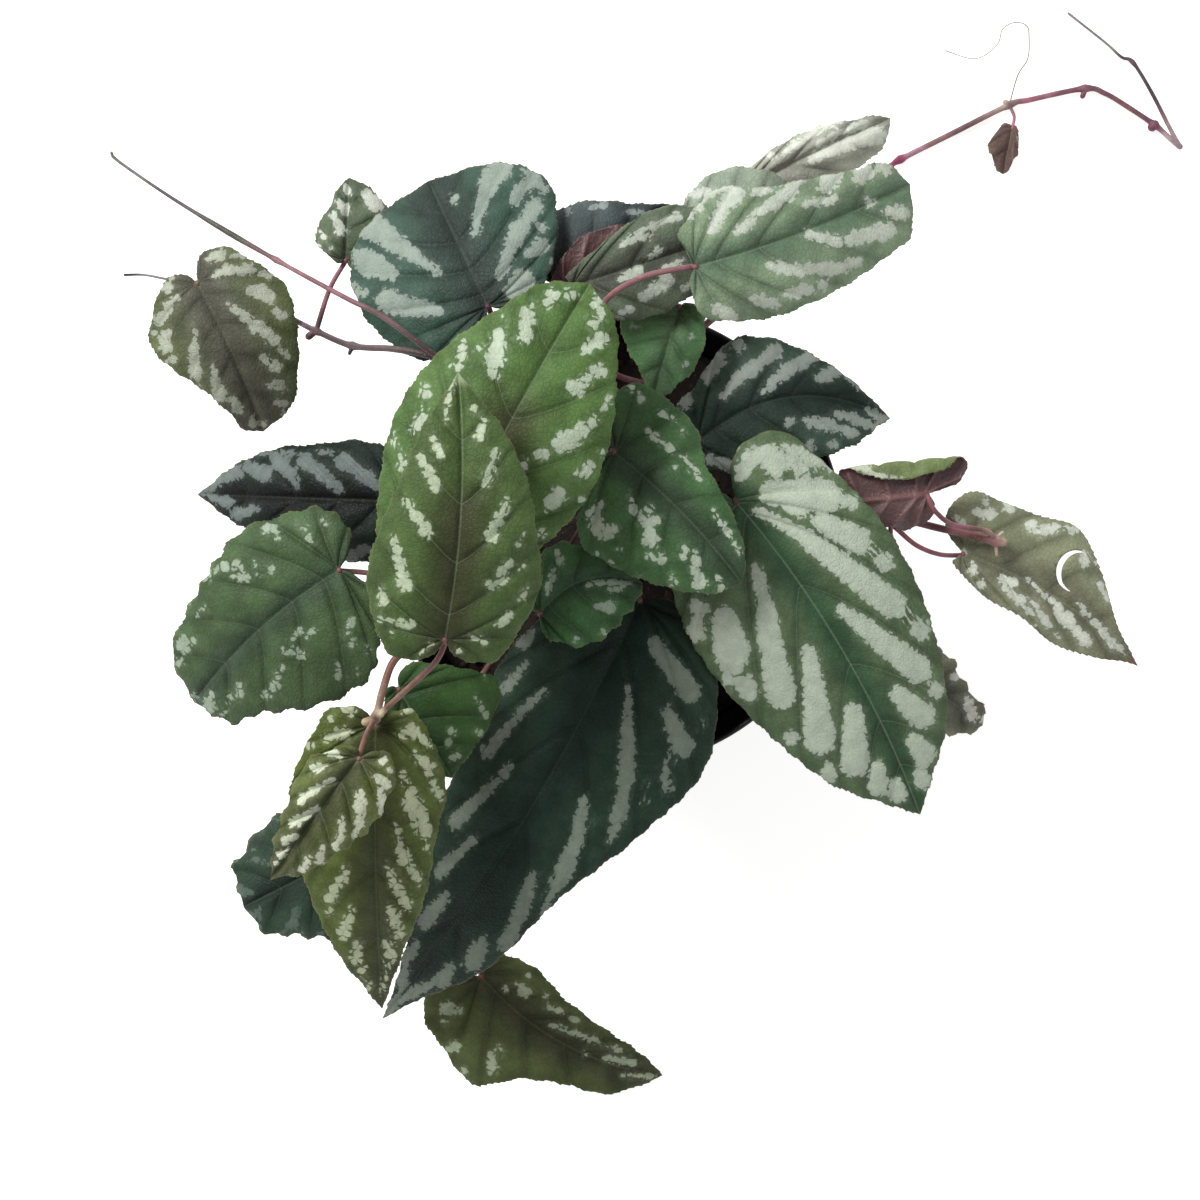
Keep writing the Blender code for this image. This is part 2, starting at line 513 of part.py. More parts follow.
def add_vine(name, root, stem, radii, nodes, shoots, colour, collection):
    """A stem out of the soil with its stalks, side shoots and tendrils, joined into one solid."""
    helpers = bpy.data.collections.new(name + "_shoots")
    bpy.context.scene.collection.children.link(helpers)
    foot_heights = [SOIL_TOP - HOLE_DEPTH + 2 * GAP] + [SOIL_TOP + rise for rise in FOOT_RISES]
    foot = [Vector((*root, z)) * MM for z in foot_heights]
    path = foot + [sight(*place) for place in stem]
    main = tube(name, path, radii, [n + len(foot) for n in nodes], helpers)
    for number, shoot in enumerate(shoots):
        path = [sight(*place) for place in shoot["path"]]
        tube(f"{name}_shoot_{number}", path, shoot["radii"], shoot.get("nodes", ()), helpers)
    helpers.objects.unlink(main)
    collection.objects.link(main)
    if shoots:
        join = main.modifiers.new("Join", "BOOLEAN")
        join.operation = "UNION"
        join.operand_type = "COLLECTION"
        join.collection = helpers
        join.solver = "EXACT"
        bpy.context.view_layer.update()
        joined = bpy.data.meshes.new_from_object(main.evaluated_get(bpy.context.evaluated_depsgraph_get()))
        main.modifiers.remove(join)
        main.data = joined
    for obj in list(helpers.objects):
        bpy.data.objects.remove(obj)
    bpy.data.collections.remove(helpers)
    main.data.shade_smooth()
    main.name = name
    main.data.materials.clear()
    main.data.materials.append(finish_material(name + "_finish", colour, STEM_ROUGHNESS))
    return main


def wall_radius(z):
    """The pot's outer radius under its rim band, in millimetres."""
    return BASE_RADIUS + (NECK_RADIUS - BASE_RADIUS) * z / (POT_HEIGHT - RIM_BAND)


def turned_object(name, profile, collection, colour, roughness):
    """A solid of revolution. Its profile, in millimetres, starts and ends on the axis, running down outside."""
    mesh = bpy.data.meshes.new(name)
    form = bmesh.new()
    points = [form.verts.new(Vector((r, 0, z)) * MM) for r, z in profile]
    for pair in zip(points, points[1:]):
        form.edges.new(pair)
    form.to_mesh(mesh)
    form.free()
    obj = add_object(name, mesh, collection, colour, roughness)
    turn = obj.modifiers.new("Turn", "SCREW")
    turn.steps = turn.render_steps = POT_STEPS
    turn.use_merge_vertices = True
    turn.merge_threshold = 0.00001
    turn.use_smooth_shade = True
    return obj


def cylinder_cutter(name, radius, low, high, place, cutters, sides):
    """A hidden upright cylinder between two heights, to cut a hole with."""
    mesh = bpy.data.meshes.new(name)
    form = bmesh.new()
    bmesh.ops.create_cone(form, cap_ends=True, segments=sides, radius1=radius * MM, radius2=radius * MM,
                          depth=(high - low) * MM)
    form.to_mesh(mesh)
    form.free()
    obj = bpy.data.objects.new(name, mesh)
    obj.location = Vector((*place, (low + high) / 2)) * MM
    obj.hide_render = True
    obj.display_type = "WIRE"
    cutters.objects.link(obj)
    return obj


def cut(obj, cutters):
    bite = obj.modifiers.new("Holes", "BOOLEAN")
    bite.operation = "DIFFERENCE"
    bite.operand_type = "COLLECTION"
    bite.collection = cutters
    bite.solver = "EXACT"


def new_collection(name):
    collection = bpy.data.collections.new(name)
    bpy.context.scene.collection.children.link(collection)
    return collection


def add_pot(collection):
    """The pot: its profile runs out over the floor, up inside, down outside and across the underside."""
    neck = POT_HEIGHT - RIM_BAND
    floor = FLOOR_RISE + FLOOR_THICK
    inside = [
        (0, floor), (wall_radius(floor) - POT_WALL - EDGE, floor),
        (wall_radius(floor + 1) - POT_WALL, floor + 1), (wall_radius(neck - 1) - POT_WALL, neck - 1),
        (RIM_RADIUS - RIM_STEP - POT_WALL, neck + 2 * EDGE),
        (RIM_RADIUS - POT_WALL - EDGE / 2, POT_HEIGHT - EDGE),
        (RIM_RADIUS - POT_WALL + EDGE / 2, POT_HEIGHT),
    ]
    outside = [
        (RIM_RADIUS - EDGE, POT_HEIGHT), (RIM_RADIUS, POT_HEIGHT - EDGE),
        (RIM_RADIUS - EDGE / 2, neck + EDGE), (RIM_RADIUS - RIM_STEP, neck), (NECK_RADIUS + EDGE, neck),
        (wall_radius(neck - 1), neck - 1), (wall_radius(2 * FOOT_SLOPE), 2 * FOOT_SLOPE),
        (BASE_RADIUS - FOOT_SLOPE, 0), (FOOT_RING, 0), (FOOT_RING - FOOT_SLOPE, FLOOR_RISE),
        (FOOT_RADIUS + FOOT_SLOPE, FLOOR_RISE), (FOOT_RADIUS, 0), (0, 0),
    ]
    pot = turned_object("pot", inside + outside, collection, POT_BLACK, POT_ROUGHNESS)
    cutters = new_collection("drain_holes")
    for k in range(DRAIN_COUNT):
        angle = 2 * math.pi * k / DRAIN_COUNT
        place = (DRAIN_PLACE * math.cos(angle), DRAIN_PLACE * math.sin(angle))
        cylinder_cutter(f"drain_{k}", DRAIN_RADIUS, -1, floor + 1, place, cutters, DRAIN_SIDES)
    cut(pot, cutters)
    return pot


def soil_radius(z):
    """The soil's radius at this height, a little inside the pot's wall."""
    return wall_radius(z) - POT_WALL - 2 * GAP


def add_soil(collection):
    """A tapered plug of potting mix with a lumpy top, and a plain hole for each stem."""
    low = FLOOR_RISE + FLOOR_THICK + GAP
    mesh = bpy.data.meshes.new("soil")
    form = bmesh.new()
    shoulder = SOIL_TOP - SOIL_EDGE
    rings = [ring_of(form, soil_radius(low) - 2 * GAP, low, 0)]
    rings.append(ring_of(form, soil_radius(shoulder), shoulder, 0))
    for k in range(SOIL_RINGS, 0, -1):
        radius = (soil_radius(shoulder) - SOIL_EDGE / 2) * k / SOIL_RINGS
        rings.append(ring_of(form, radius, SOIL_TOP, SOIL_BUMP))
    for lower, upper in zip(rings, rings[1:]):
        for i in range(SOIL_SPOKES):
            j = (i + 1) % SOIL_SPOKES
            form.faces.new((lower[i], lower[j], upper[j]))
            form.faces.new((lower[i], upper[j], upper[i]))
    middle = form.verts.new(Vector((0, 0, SOIL_TOP)) * MM)
    for i in range(SOIL_SPOKES):
        form.faces.new((rings[-1][i], rings[-1][(i + 1) % SOIL_SPOKES], middle))
    form.faces.new(rings[0][::-1])
    form.to_mesh(mesh)
    form.free()
    mesh.shade_smooth()
    soil = add_object("soil", mesh, collection, SOIL_BROWN, SOIL_ROUGHNESS)
    cutters = new_collection("stem_holes")
    for name, vine in VINES.items():
        radius = vine["radii"][0] + HOLE_GAP
        low, high = SOIL_TOP - HOLE_DEPTH, SOIL_TOP + 2 * SOIL_EDGE
        cylinder_cutter("hole_" + name, radius, low, high, vine["root"], cutters, HOLE_SIDES)
    cut(soil, cutters)
    return soil


def ring_of(form, radius, z, bump):
    """A ring of points round the pot's axis, each raised or sunk a little where the soil is lumpy."""
    found = []
    for i in range(SOIL_SPOKES):
        angle = 2 * math.pi * i / SOIL_SPOKES
        x, y = radius * math.cos(angle), radius * math.sin(angle)
        lump = bump * noise.noise(Vector((x, y, BUMP_LAYER)) * BUMP_SCALE)
        found.append(form.verts.new(Vector((x, y, z + lump)) * MM))
    return found


def main():
    for obj in list(bpy.data.objects):
        bpy.data.objects.remove(obj)
    parts = new_collection("potted_vine")
    add_pot(parts)
    add_soil(parts)
    for name, vine in VINES.items():
        add_vine(name, collection=parts, **vine)
    leaves = {name: add_leaf(name, measures, parts) for name, measures in LEAVES.items()}
    tears = new_collection("tears")
    tear_cutter(tears)
    cut(leaves[TORN_LEAF], tears)


main()
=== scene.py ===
"""The looks of a potted trailing vine with silver-marked leaves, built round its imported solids.

Sizes and places are in millimetres unless a name says otherwise, and MM turns them into metres. Places in plan
are given as they appear from straight above at the height of the pot's rim, and sight() carries one along its
line of sight to its own height, as in the part's own source.
"""

import math
import random

import bmesh
import bpy
import numpy as np
from mathutils import Euler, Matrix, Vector, noise


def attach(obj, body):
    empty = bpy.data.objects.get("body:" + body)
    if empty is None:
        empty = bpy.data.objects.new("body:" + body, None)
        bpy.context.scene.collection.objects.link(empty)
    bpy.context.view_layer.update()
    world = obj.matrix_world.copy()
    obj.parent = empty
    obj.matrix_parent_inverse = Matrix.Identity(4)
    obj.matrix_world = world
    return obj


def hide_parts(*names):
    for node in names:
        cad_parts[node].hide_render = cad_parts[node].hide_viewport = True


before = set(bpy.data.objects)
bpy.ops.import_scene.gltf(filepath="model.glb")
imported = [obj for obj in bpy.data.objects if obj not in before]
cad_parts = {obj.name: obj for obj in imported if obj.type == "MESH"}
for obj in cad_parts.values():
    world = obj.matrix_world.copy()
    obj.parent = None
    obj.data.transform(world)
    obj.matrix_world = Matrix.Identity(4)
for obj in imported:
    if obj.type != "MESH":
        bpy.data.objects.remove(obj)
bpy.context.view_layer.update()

MM = 0.001

# The pot and the soil
POT_HEIGHT = 120.0
RIM_RADIUS = 70.0
RIM_BAND = 9.0
NECK_RADIUS = 66.5
BASE_RADIUS = 50.0
POT_WALL = 1.4
FLOOR_RISE = 1.6
FLOOR_THICK = 1.6
FOOT_RADIUS = 20.0
FOOT_RING = 44.0
DRAIN_RADIUS = 4.5
DRAIN_PLACE = 32.0
DRAIN_COUNT = 6
SOIL_TOP = 106.0

# The line of sight that the plan was measured along, which is the camera's
SIGHT_HEIGHT = 870.0
SIGHT_X = -4.0
SIGHT_Y = -19.0
PHOTO_SIDE = 363.6

# The blades, as in the part's source: their stations and tips, the lobe behind the stalk, folds and waves.
# Then half their thickness as they are drawn, the step along a margin, the share of the veins that fan out
# from the stalk, and how the side veins lag and bend.
STATIONS = (0.2, 0.4, 0.6, 0.8)
TIP_STATION = 0.93
LOBE = ((0.75, 0.16), (1.0, 0.48), (0.55, 0.86))
FOLD_RADIUS = 1.6
KEEL = 1.2
WAVES = 2.3
WAVE_SHIFT = 0.013
HALF_BLADE = 0.24
MARGIN_STEP = 0.4
FAN_SHARE = 0.42
VEIN_LAG = 1.2
VEIN_SWEEP = 1.3

# Each leaf, as in the part's source but for slightly rounder tips on leaf_07 and leaf_16 and a wider right
# side on leaf_20: where its stalk joins it, its tip, how far its midrib bows to the left, how far the middle
# is arched up, how far the left and right margins rise, and for each side the reach of the lobe behind the
# stalk and the half-widths at the stalk and at a fifth, two, three and four fifths of its length.
LEAVES = {
    "leaf_01": dict(base=(-126, 77, 127), tip=(-106, 32, 108), bow=1, arch=8, edge=(-3, -7), blunt=0.7,
                    left=(8, 17, 23, 22.5, 19.5, 15), right=(5, 13, 21, 19, 13, 8)),
    "leaf_02": dict(base=(-81, 84, 130), tip=(-80, 109, 125), arch=3, edge=(-3, -2), blunt=0.5,
                    left=(1, 4, 9, 9, 6, 4), right=(3, 9, 12, 13, 12.5, 9)),
    "leaf_03": dict(base=(-38, 70, 152), tip=(-56, 108, 136), arch=4, edge=(-9, -6), blunt=0.66,
                    left=(9, 31, 34, 35, 34, 29), right=(3, 21, 27, 31, 33, 28)),
    "leaf_04": dict(base=(-18, 77, 138), tip=(17, 101, 136), arch=3, edge=(-4, 0), fold=(1.5, 165),
                    left=(2, 12, 17, 17, 13, 6), right=(2, 10, 14, 15, 12, 7)),
    "leaf_05": dict(base=(-12, 76, 154), tip=(38, 92, 150), arch=4, edge=(-3, -4),
                    left=(1, 5, 9, 13, 15, 12), right=(1, 8, 14, 16, 14, 9)),
    "leaf_06": dict(base=(22, 88, 144), tip=(56, 104, 138), arch=3, edge=(-4, -2), blunt=0.6,
                    left=(1, 9, 14, 16.5, 16, 12), right=(1, 7, 9, 9, 7, 4)),
    "leaf_07": dict(base=(25, 82, 176), tip=(90, 107, 150), bow=-2, arch=6, edge=(-3, -6), blunt=0.82,
                    left=(1, 14, 21, 17, 14.5, 11.5), right=(4, 19, 21, 21, 19.5, 16.5)),
    "leaf_08": dict(base=(38, 104, 132), tip=(84, 127, 128), bow=1, arch=5, edge=(-2, -6), blunt=0.6,
                    left=(1, 4, 6, 7, 6.5, 4), right=(1, 5, 8, 10, 10, 9)),
    "leaf_09": dict(base=(20, 70, 144), tip=(12, 42, 140), arch=2, edge=(-2, -2), blunt=0.6,
                    left=(2, 8.5, 10, 10.5, 9.5, 6), right=(2, 16, 17, 15, 11, 5)),
    "leaf_10": dict(base=(26, 29, 130), tip=(84, 36, 117), bow=10, arch=4, edge=(-2, -2),
                    left=(8, 15, 22, 19.5, 14, 8), right=(2, 8, 18, 21, 19, 13)),
    "leaf_11": dict(base=(37, 11, 146), tip=(93, -84, 104), bow=5, arch=9, edge=(-5, -4), blunt=0.38,
                    left=(14, 29.5, 31, 30.5, 26.5, 19.5), right=(9, 27, 35.5, 37, 32, 22)),
    "leaf_12": dict(base=(95, 13, 126), tip=(64, 10, 124), arch=1, edge=(-4, 0), fold=(8.5, 168),
                    left=(2, 8, 10, 9, 7, 4), right=(13, 17, 17, 16, 14, 10), upturned=True),
    "leaf_13": dict(base=(106, -5, 112), tip=(159, -39, 99), bow=4, arch=4, edge=(-4, -3), blunt=0.3,
                    left=(11, 21.5, 19.5, 21.5, 14.5, 5), right=(1, 5, 10, 10.5, 12, 7.5)),
    "leaf_14": dict(base=(92, -42, 98), tip=(112, -57, 88), arch=2, edge=(-2, -3), blunt=0.6,
                    left=(2, 11.5, 10.5, 8, 6, 5), right=(2, 7, 9, 10, 9.5, 7)),
    "leaf_15": dict(base=(0, 26, 163), tip=(39, -14, 156), bow=2, arch=5, edge=(-5, -5), blunt=0.55,
                    left=(13, 25, 22, 15.5, 12.5, 9), right=(2, 12, 27, 27, 23, 16)),
    "leaf_16": dict(base=(-53, -7, 180), tip=(-7, 77, 184), bow=1, arch=9, edge=(-8, -6), blunt=0.62,
                    left=(8, 22, 29, 32, 28.5, 19.5), right=(10, 18, 26.5, 31.5, 29, 20.5)),
    "leaf_17": dict(base=(-51, -31, 200), tip=(-47, 50, 208), bow=-3, arch=9, edge=(-7, -6), blunt=0.34,
                    left=(6.5, 21, 26.5, 24.5, 18.5, 11.5), right=(6.5, 21, 26, 23.5, 20, 12.5)),
    "leaf_18": dict(base=(-83, -10, 152), tip=(-127, -50, 120), bow=-3, arch=8, edge=(-6, -5), blunt=0.75,
                    left=(3, 18, 31, 32, 27, 17.5), right=(11, 23.5, 26.5, 25, 21.5, 18)),
    "leaf_19": dict(base=(-65, 11, 138), tip=(-126, 13, 108), arch=8, edge=(-4, -4),
                    left=(5, 18, 19, 15.5, 12.5, 8.5), right=(5, 16, 18, 16.5, 15, 10)),
    "leaf_20": dict(base=(8, -19, 132), tip=(-70, -146, 66), bow=5, arch=26, edge=(-6, -4), blunt=0.3,
                    left=(5, 29, 40, 33, 22, 16), right=(5, 14, 28.5, 28, 22, 11)),
    "leaf_21": dict(base=(-22, -23, 150), tip=(9, -14, 147), bow=6, arch=2, edge=(-2, -3), blunt=0.5,
                    left=(3, 11, 14, 13, 9, 5), right=(1, 8, 16, 19, 17, 11)),
    "leaf_22": dict(base=(-65, -46, 152), tip=(-49, -73, 142), arch=2, edge=(-3, -2),
                    left=(5, 13, 22, 27, 24, 15), right=(2, 5, 8, 9, 8, 6)),
    "leaf_23": dict(base=(-72, -57, 168), tip=(-70, -143, 112), bow=-1, arch=10, edge=(-5, -5), blunt=0.35,
                    left=(4.5, 15.5, 21.5, 18.5, 15, 7.5), right=(6, 18.5, 25.5, 24, 20, 12.5)),
    "leaf_24": dict(base=(-77, -67, 184), tip=(-104, -104, 170), arch=4, edge=(-3, -3), blunt=0.3,
                    left=(6, 13.5, 15, 14.5, 11.5, 8), right=(2, 6, 12, 11, 8.5, 5.5)),
    "leaf_25": dict(base=(-78, -95, 118), tip=(-112, -112, 104), arch=3, edge=(-5, -4), blunt=0.8, wave=2,
                    left=(4, 14, 20, 22, 18, 13), right=(4, 12, 18, 20, 19, 15)),
    "leaf_26": dict(base=(-40, -133, 54), tip=(15, -163, 40), bow=-6, arch=5, edge=(-3, -5), blunt=0.45,
                    left=(3, 9, 14, 12, 10, 7), right=(12, 25, 26, 16, 11, 9.5)),
    "leaf_27": dict(base=(121, 124, 6), tip=(118, 110, 5), arch=2, edge=(1, 1), blunt=0.6,
                    left=(1, 1.5, 2.5, 3, 2.5, 2), right=(1, 3.5, 5, 6, 5, 3.5)),
}

# How each leaf looks, where it differs from PLAIN_LOOK. Colours are sRGB: the blade near its midrib (deep)
# and towards its margin (blade), and the patches. cells is how many cells the side veins make on each side.
# feather is how ragged a patch is, lumps how deep in mm its edge is cut into rounded lumps, grow how far it
# spreads past its mark in mm, quilt how far the cells bulge in mm, deep_out and deep_end how far the deep
# colour reaches out in mm and along the blade as a share, lines how clear the veins are, groove how deep
# they are sunk, pucker how lumpy the blade is in mm, scallop how wavy the margin is in mm, and tip the
# colour of its tip. width is the share of a cell that a patch takes up and keep the share of the cells with
# one, on leaves without PATCHES.
LOOKS = {
    "leaf_01": dict(deep="#58584c", blade="#616a47", silver="#b3b9a6", deep_out=19, quilt=0.4, lines=0.1,
                    groove=0.4, grow=0.05),
    "leaf_02": dict(deep="#535f4b", blade="#647556", silver="#ced4c6", cells=6, lines=0.2, grow=-0.15),
    "leaf_03": dict(deep="#343f39", blade="#3f574a", silver="#97a398", feather=1.5, lines=0.15, deep_out=18,
                    grow=0.45, groove=0.7),
    "leaf_04": dict(deep="#3a4143", blade="#4b5555", silver="#8d9996", cells=6, lines=0.2),
    "leaf_05": dict(deep="#4b4f45", blade="#606c58", silver="#b8c0b1", cells=6, lines=0.4, grow=0.3),
    "leaf_06": dict(deep="#7d8a78", blade="#9aa893", silver="#d0d6cb", cells=6, lines=0.4, grow=0.4),
    "leaf_07": dict(deep="#5f745d", blade="#829678", silver="#c6cebe", feather=1.5, lines=0.9, grow=0.8,
                    groove=0.7),
    "leaf_08": dict(deep="#9a9c90", blade="#b8bca8", silver="#dfe2d4", cells=6, lines=0.4, grow=0.4),
    "leaf_09": dict(deep="#55704f", blade="#5d8757", silver="#a9bda5", cells=6, lines=0.3),
    "leaf_10": dict(deep="#2f3c35", blade="#45594b", silver="#a9b3a9", feather=1.5, lines=0.15, deep_out=14,
                    grow=0.5),
    "leaf_11": dict(deep="#3d583e", blade="#5c6f50", silver="#bfcab6", lines=0.9, grow=1.1, lumps=0.5,
                    feather=0.8),
    "leaf_12": dict(deep="#5e5f4a", blade="#7b8a5c", silver="#ccd4bc", cells=6, lines=0.4),
    "leaf_13": dict(deep="#73745f", blade="#888c70", silver="#dadfd0", cells=7, lines=0.3, grow=0.0, pucker=0.2,
                    scallop=0.0, tip="#84625a", tip_share=0.9),
    "leaf_14": dict(deep="#6a6d60", blade="#8e9078", silver="#e0e1d4", cells=6, lines=0.3, grow=0.4,
                    scallop=0.9),
    "leaf_15": dict(deep="#40523e", blade="#4a6b43", silver="#bccab3", cells=7, grow=0.05, lumps=0.7,
                    lines=0.3),
    "leaf_16": dict(deep="#42472c", blade="#55713e", silver="#bccab1", grow=0.12, lumps=0.8, deep_end=0.6,
                    deep_out=17, lines=0.8),
    "leaf_17": dict(deep="#3d4029", blade="#4e6338", silver="#b9c6a8", grow=-0.1, lumps=0.7, deep_out=15,
                    deep_end=0.6, lines=0.8, tip="#a9ba94", tip_share=0.6),
    "leaf_18": dict(deep="#40523d", blade="#4d6241", silver="#a5b59e", grow=0.1, lumps=0.7, lines=0.4,
                    deep_out=9, scallop=0.6),
    "leaf_19": dict(deep="#161a18", blade="#202b25", silver="#717b77", lines=0.1, grow=0.05),
    "leaf_20": dict(deep="#1d2c25", blade="#2a3d2f", silver="#818c7e", feather=1.3, lines=0.1, deep_out=16),
    "leaf_21": dict(deep="#3f5b40", blade="#4b7245", silver="#b0c4ab", cells=6, lines=0.35, scallop=0.5),
    "leaf_22": dict(deep="#30482a", blade="#3d5a2f", silver="#93a588", cells=6, lines=0.5, grow=-0.05),
    "leaf_23": dict(deep="#454a2d", blade="#586632", silver="#bfc8a6", lumps=0.8, lines=0.4, deep_out=13,
                    grow=0.2),
    "leaf_24": dict(deep="#4b4f35", blade="#5f6a38", silver="#d3dac0", cells=7, quilt=1.5, lines=0.6,
                    grow=0.15, scallop=0.7),
    "leaf_25": dict(deep="#26332b", blade="#344738", silver="#5b6b5e", cells=6, width=0.3, keep=0.95, quilt=0.9,
                    lines=0.3, scallop=0.8),
    "leaf_26": dict(deep="#464834", blade="#56603b", silver="#b0bb9e", grow=0.1, lines=0.2),
    "leaf_27": dict(deep="#735c58", blade="#7a705e", silver="#8d8878", cells=4, width=0.2, keep=0.3,
                    scallop=0.5),
}
PLAIN_LOOK = dict(cells=8, feather=1.0, lumps=0.45, grow=0.2, quilt=0.7, deep_out=10, deep_end=2, lines=0.5,
                  scallop=0.25, groove=1.0, pucker=0.3, tip_share=0.0)
SHINE = 0.14
UNDERSIDE = "#684a49"
UNDERSIDE_DEEP = "#4b3435"
UNDER_VEIN = "#84605c"
VEIN_TINT = "#8fa183"
TOOTH_TINT = "#7b6f4c"
STALK_TINT = "#8a6a5c"

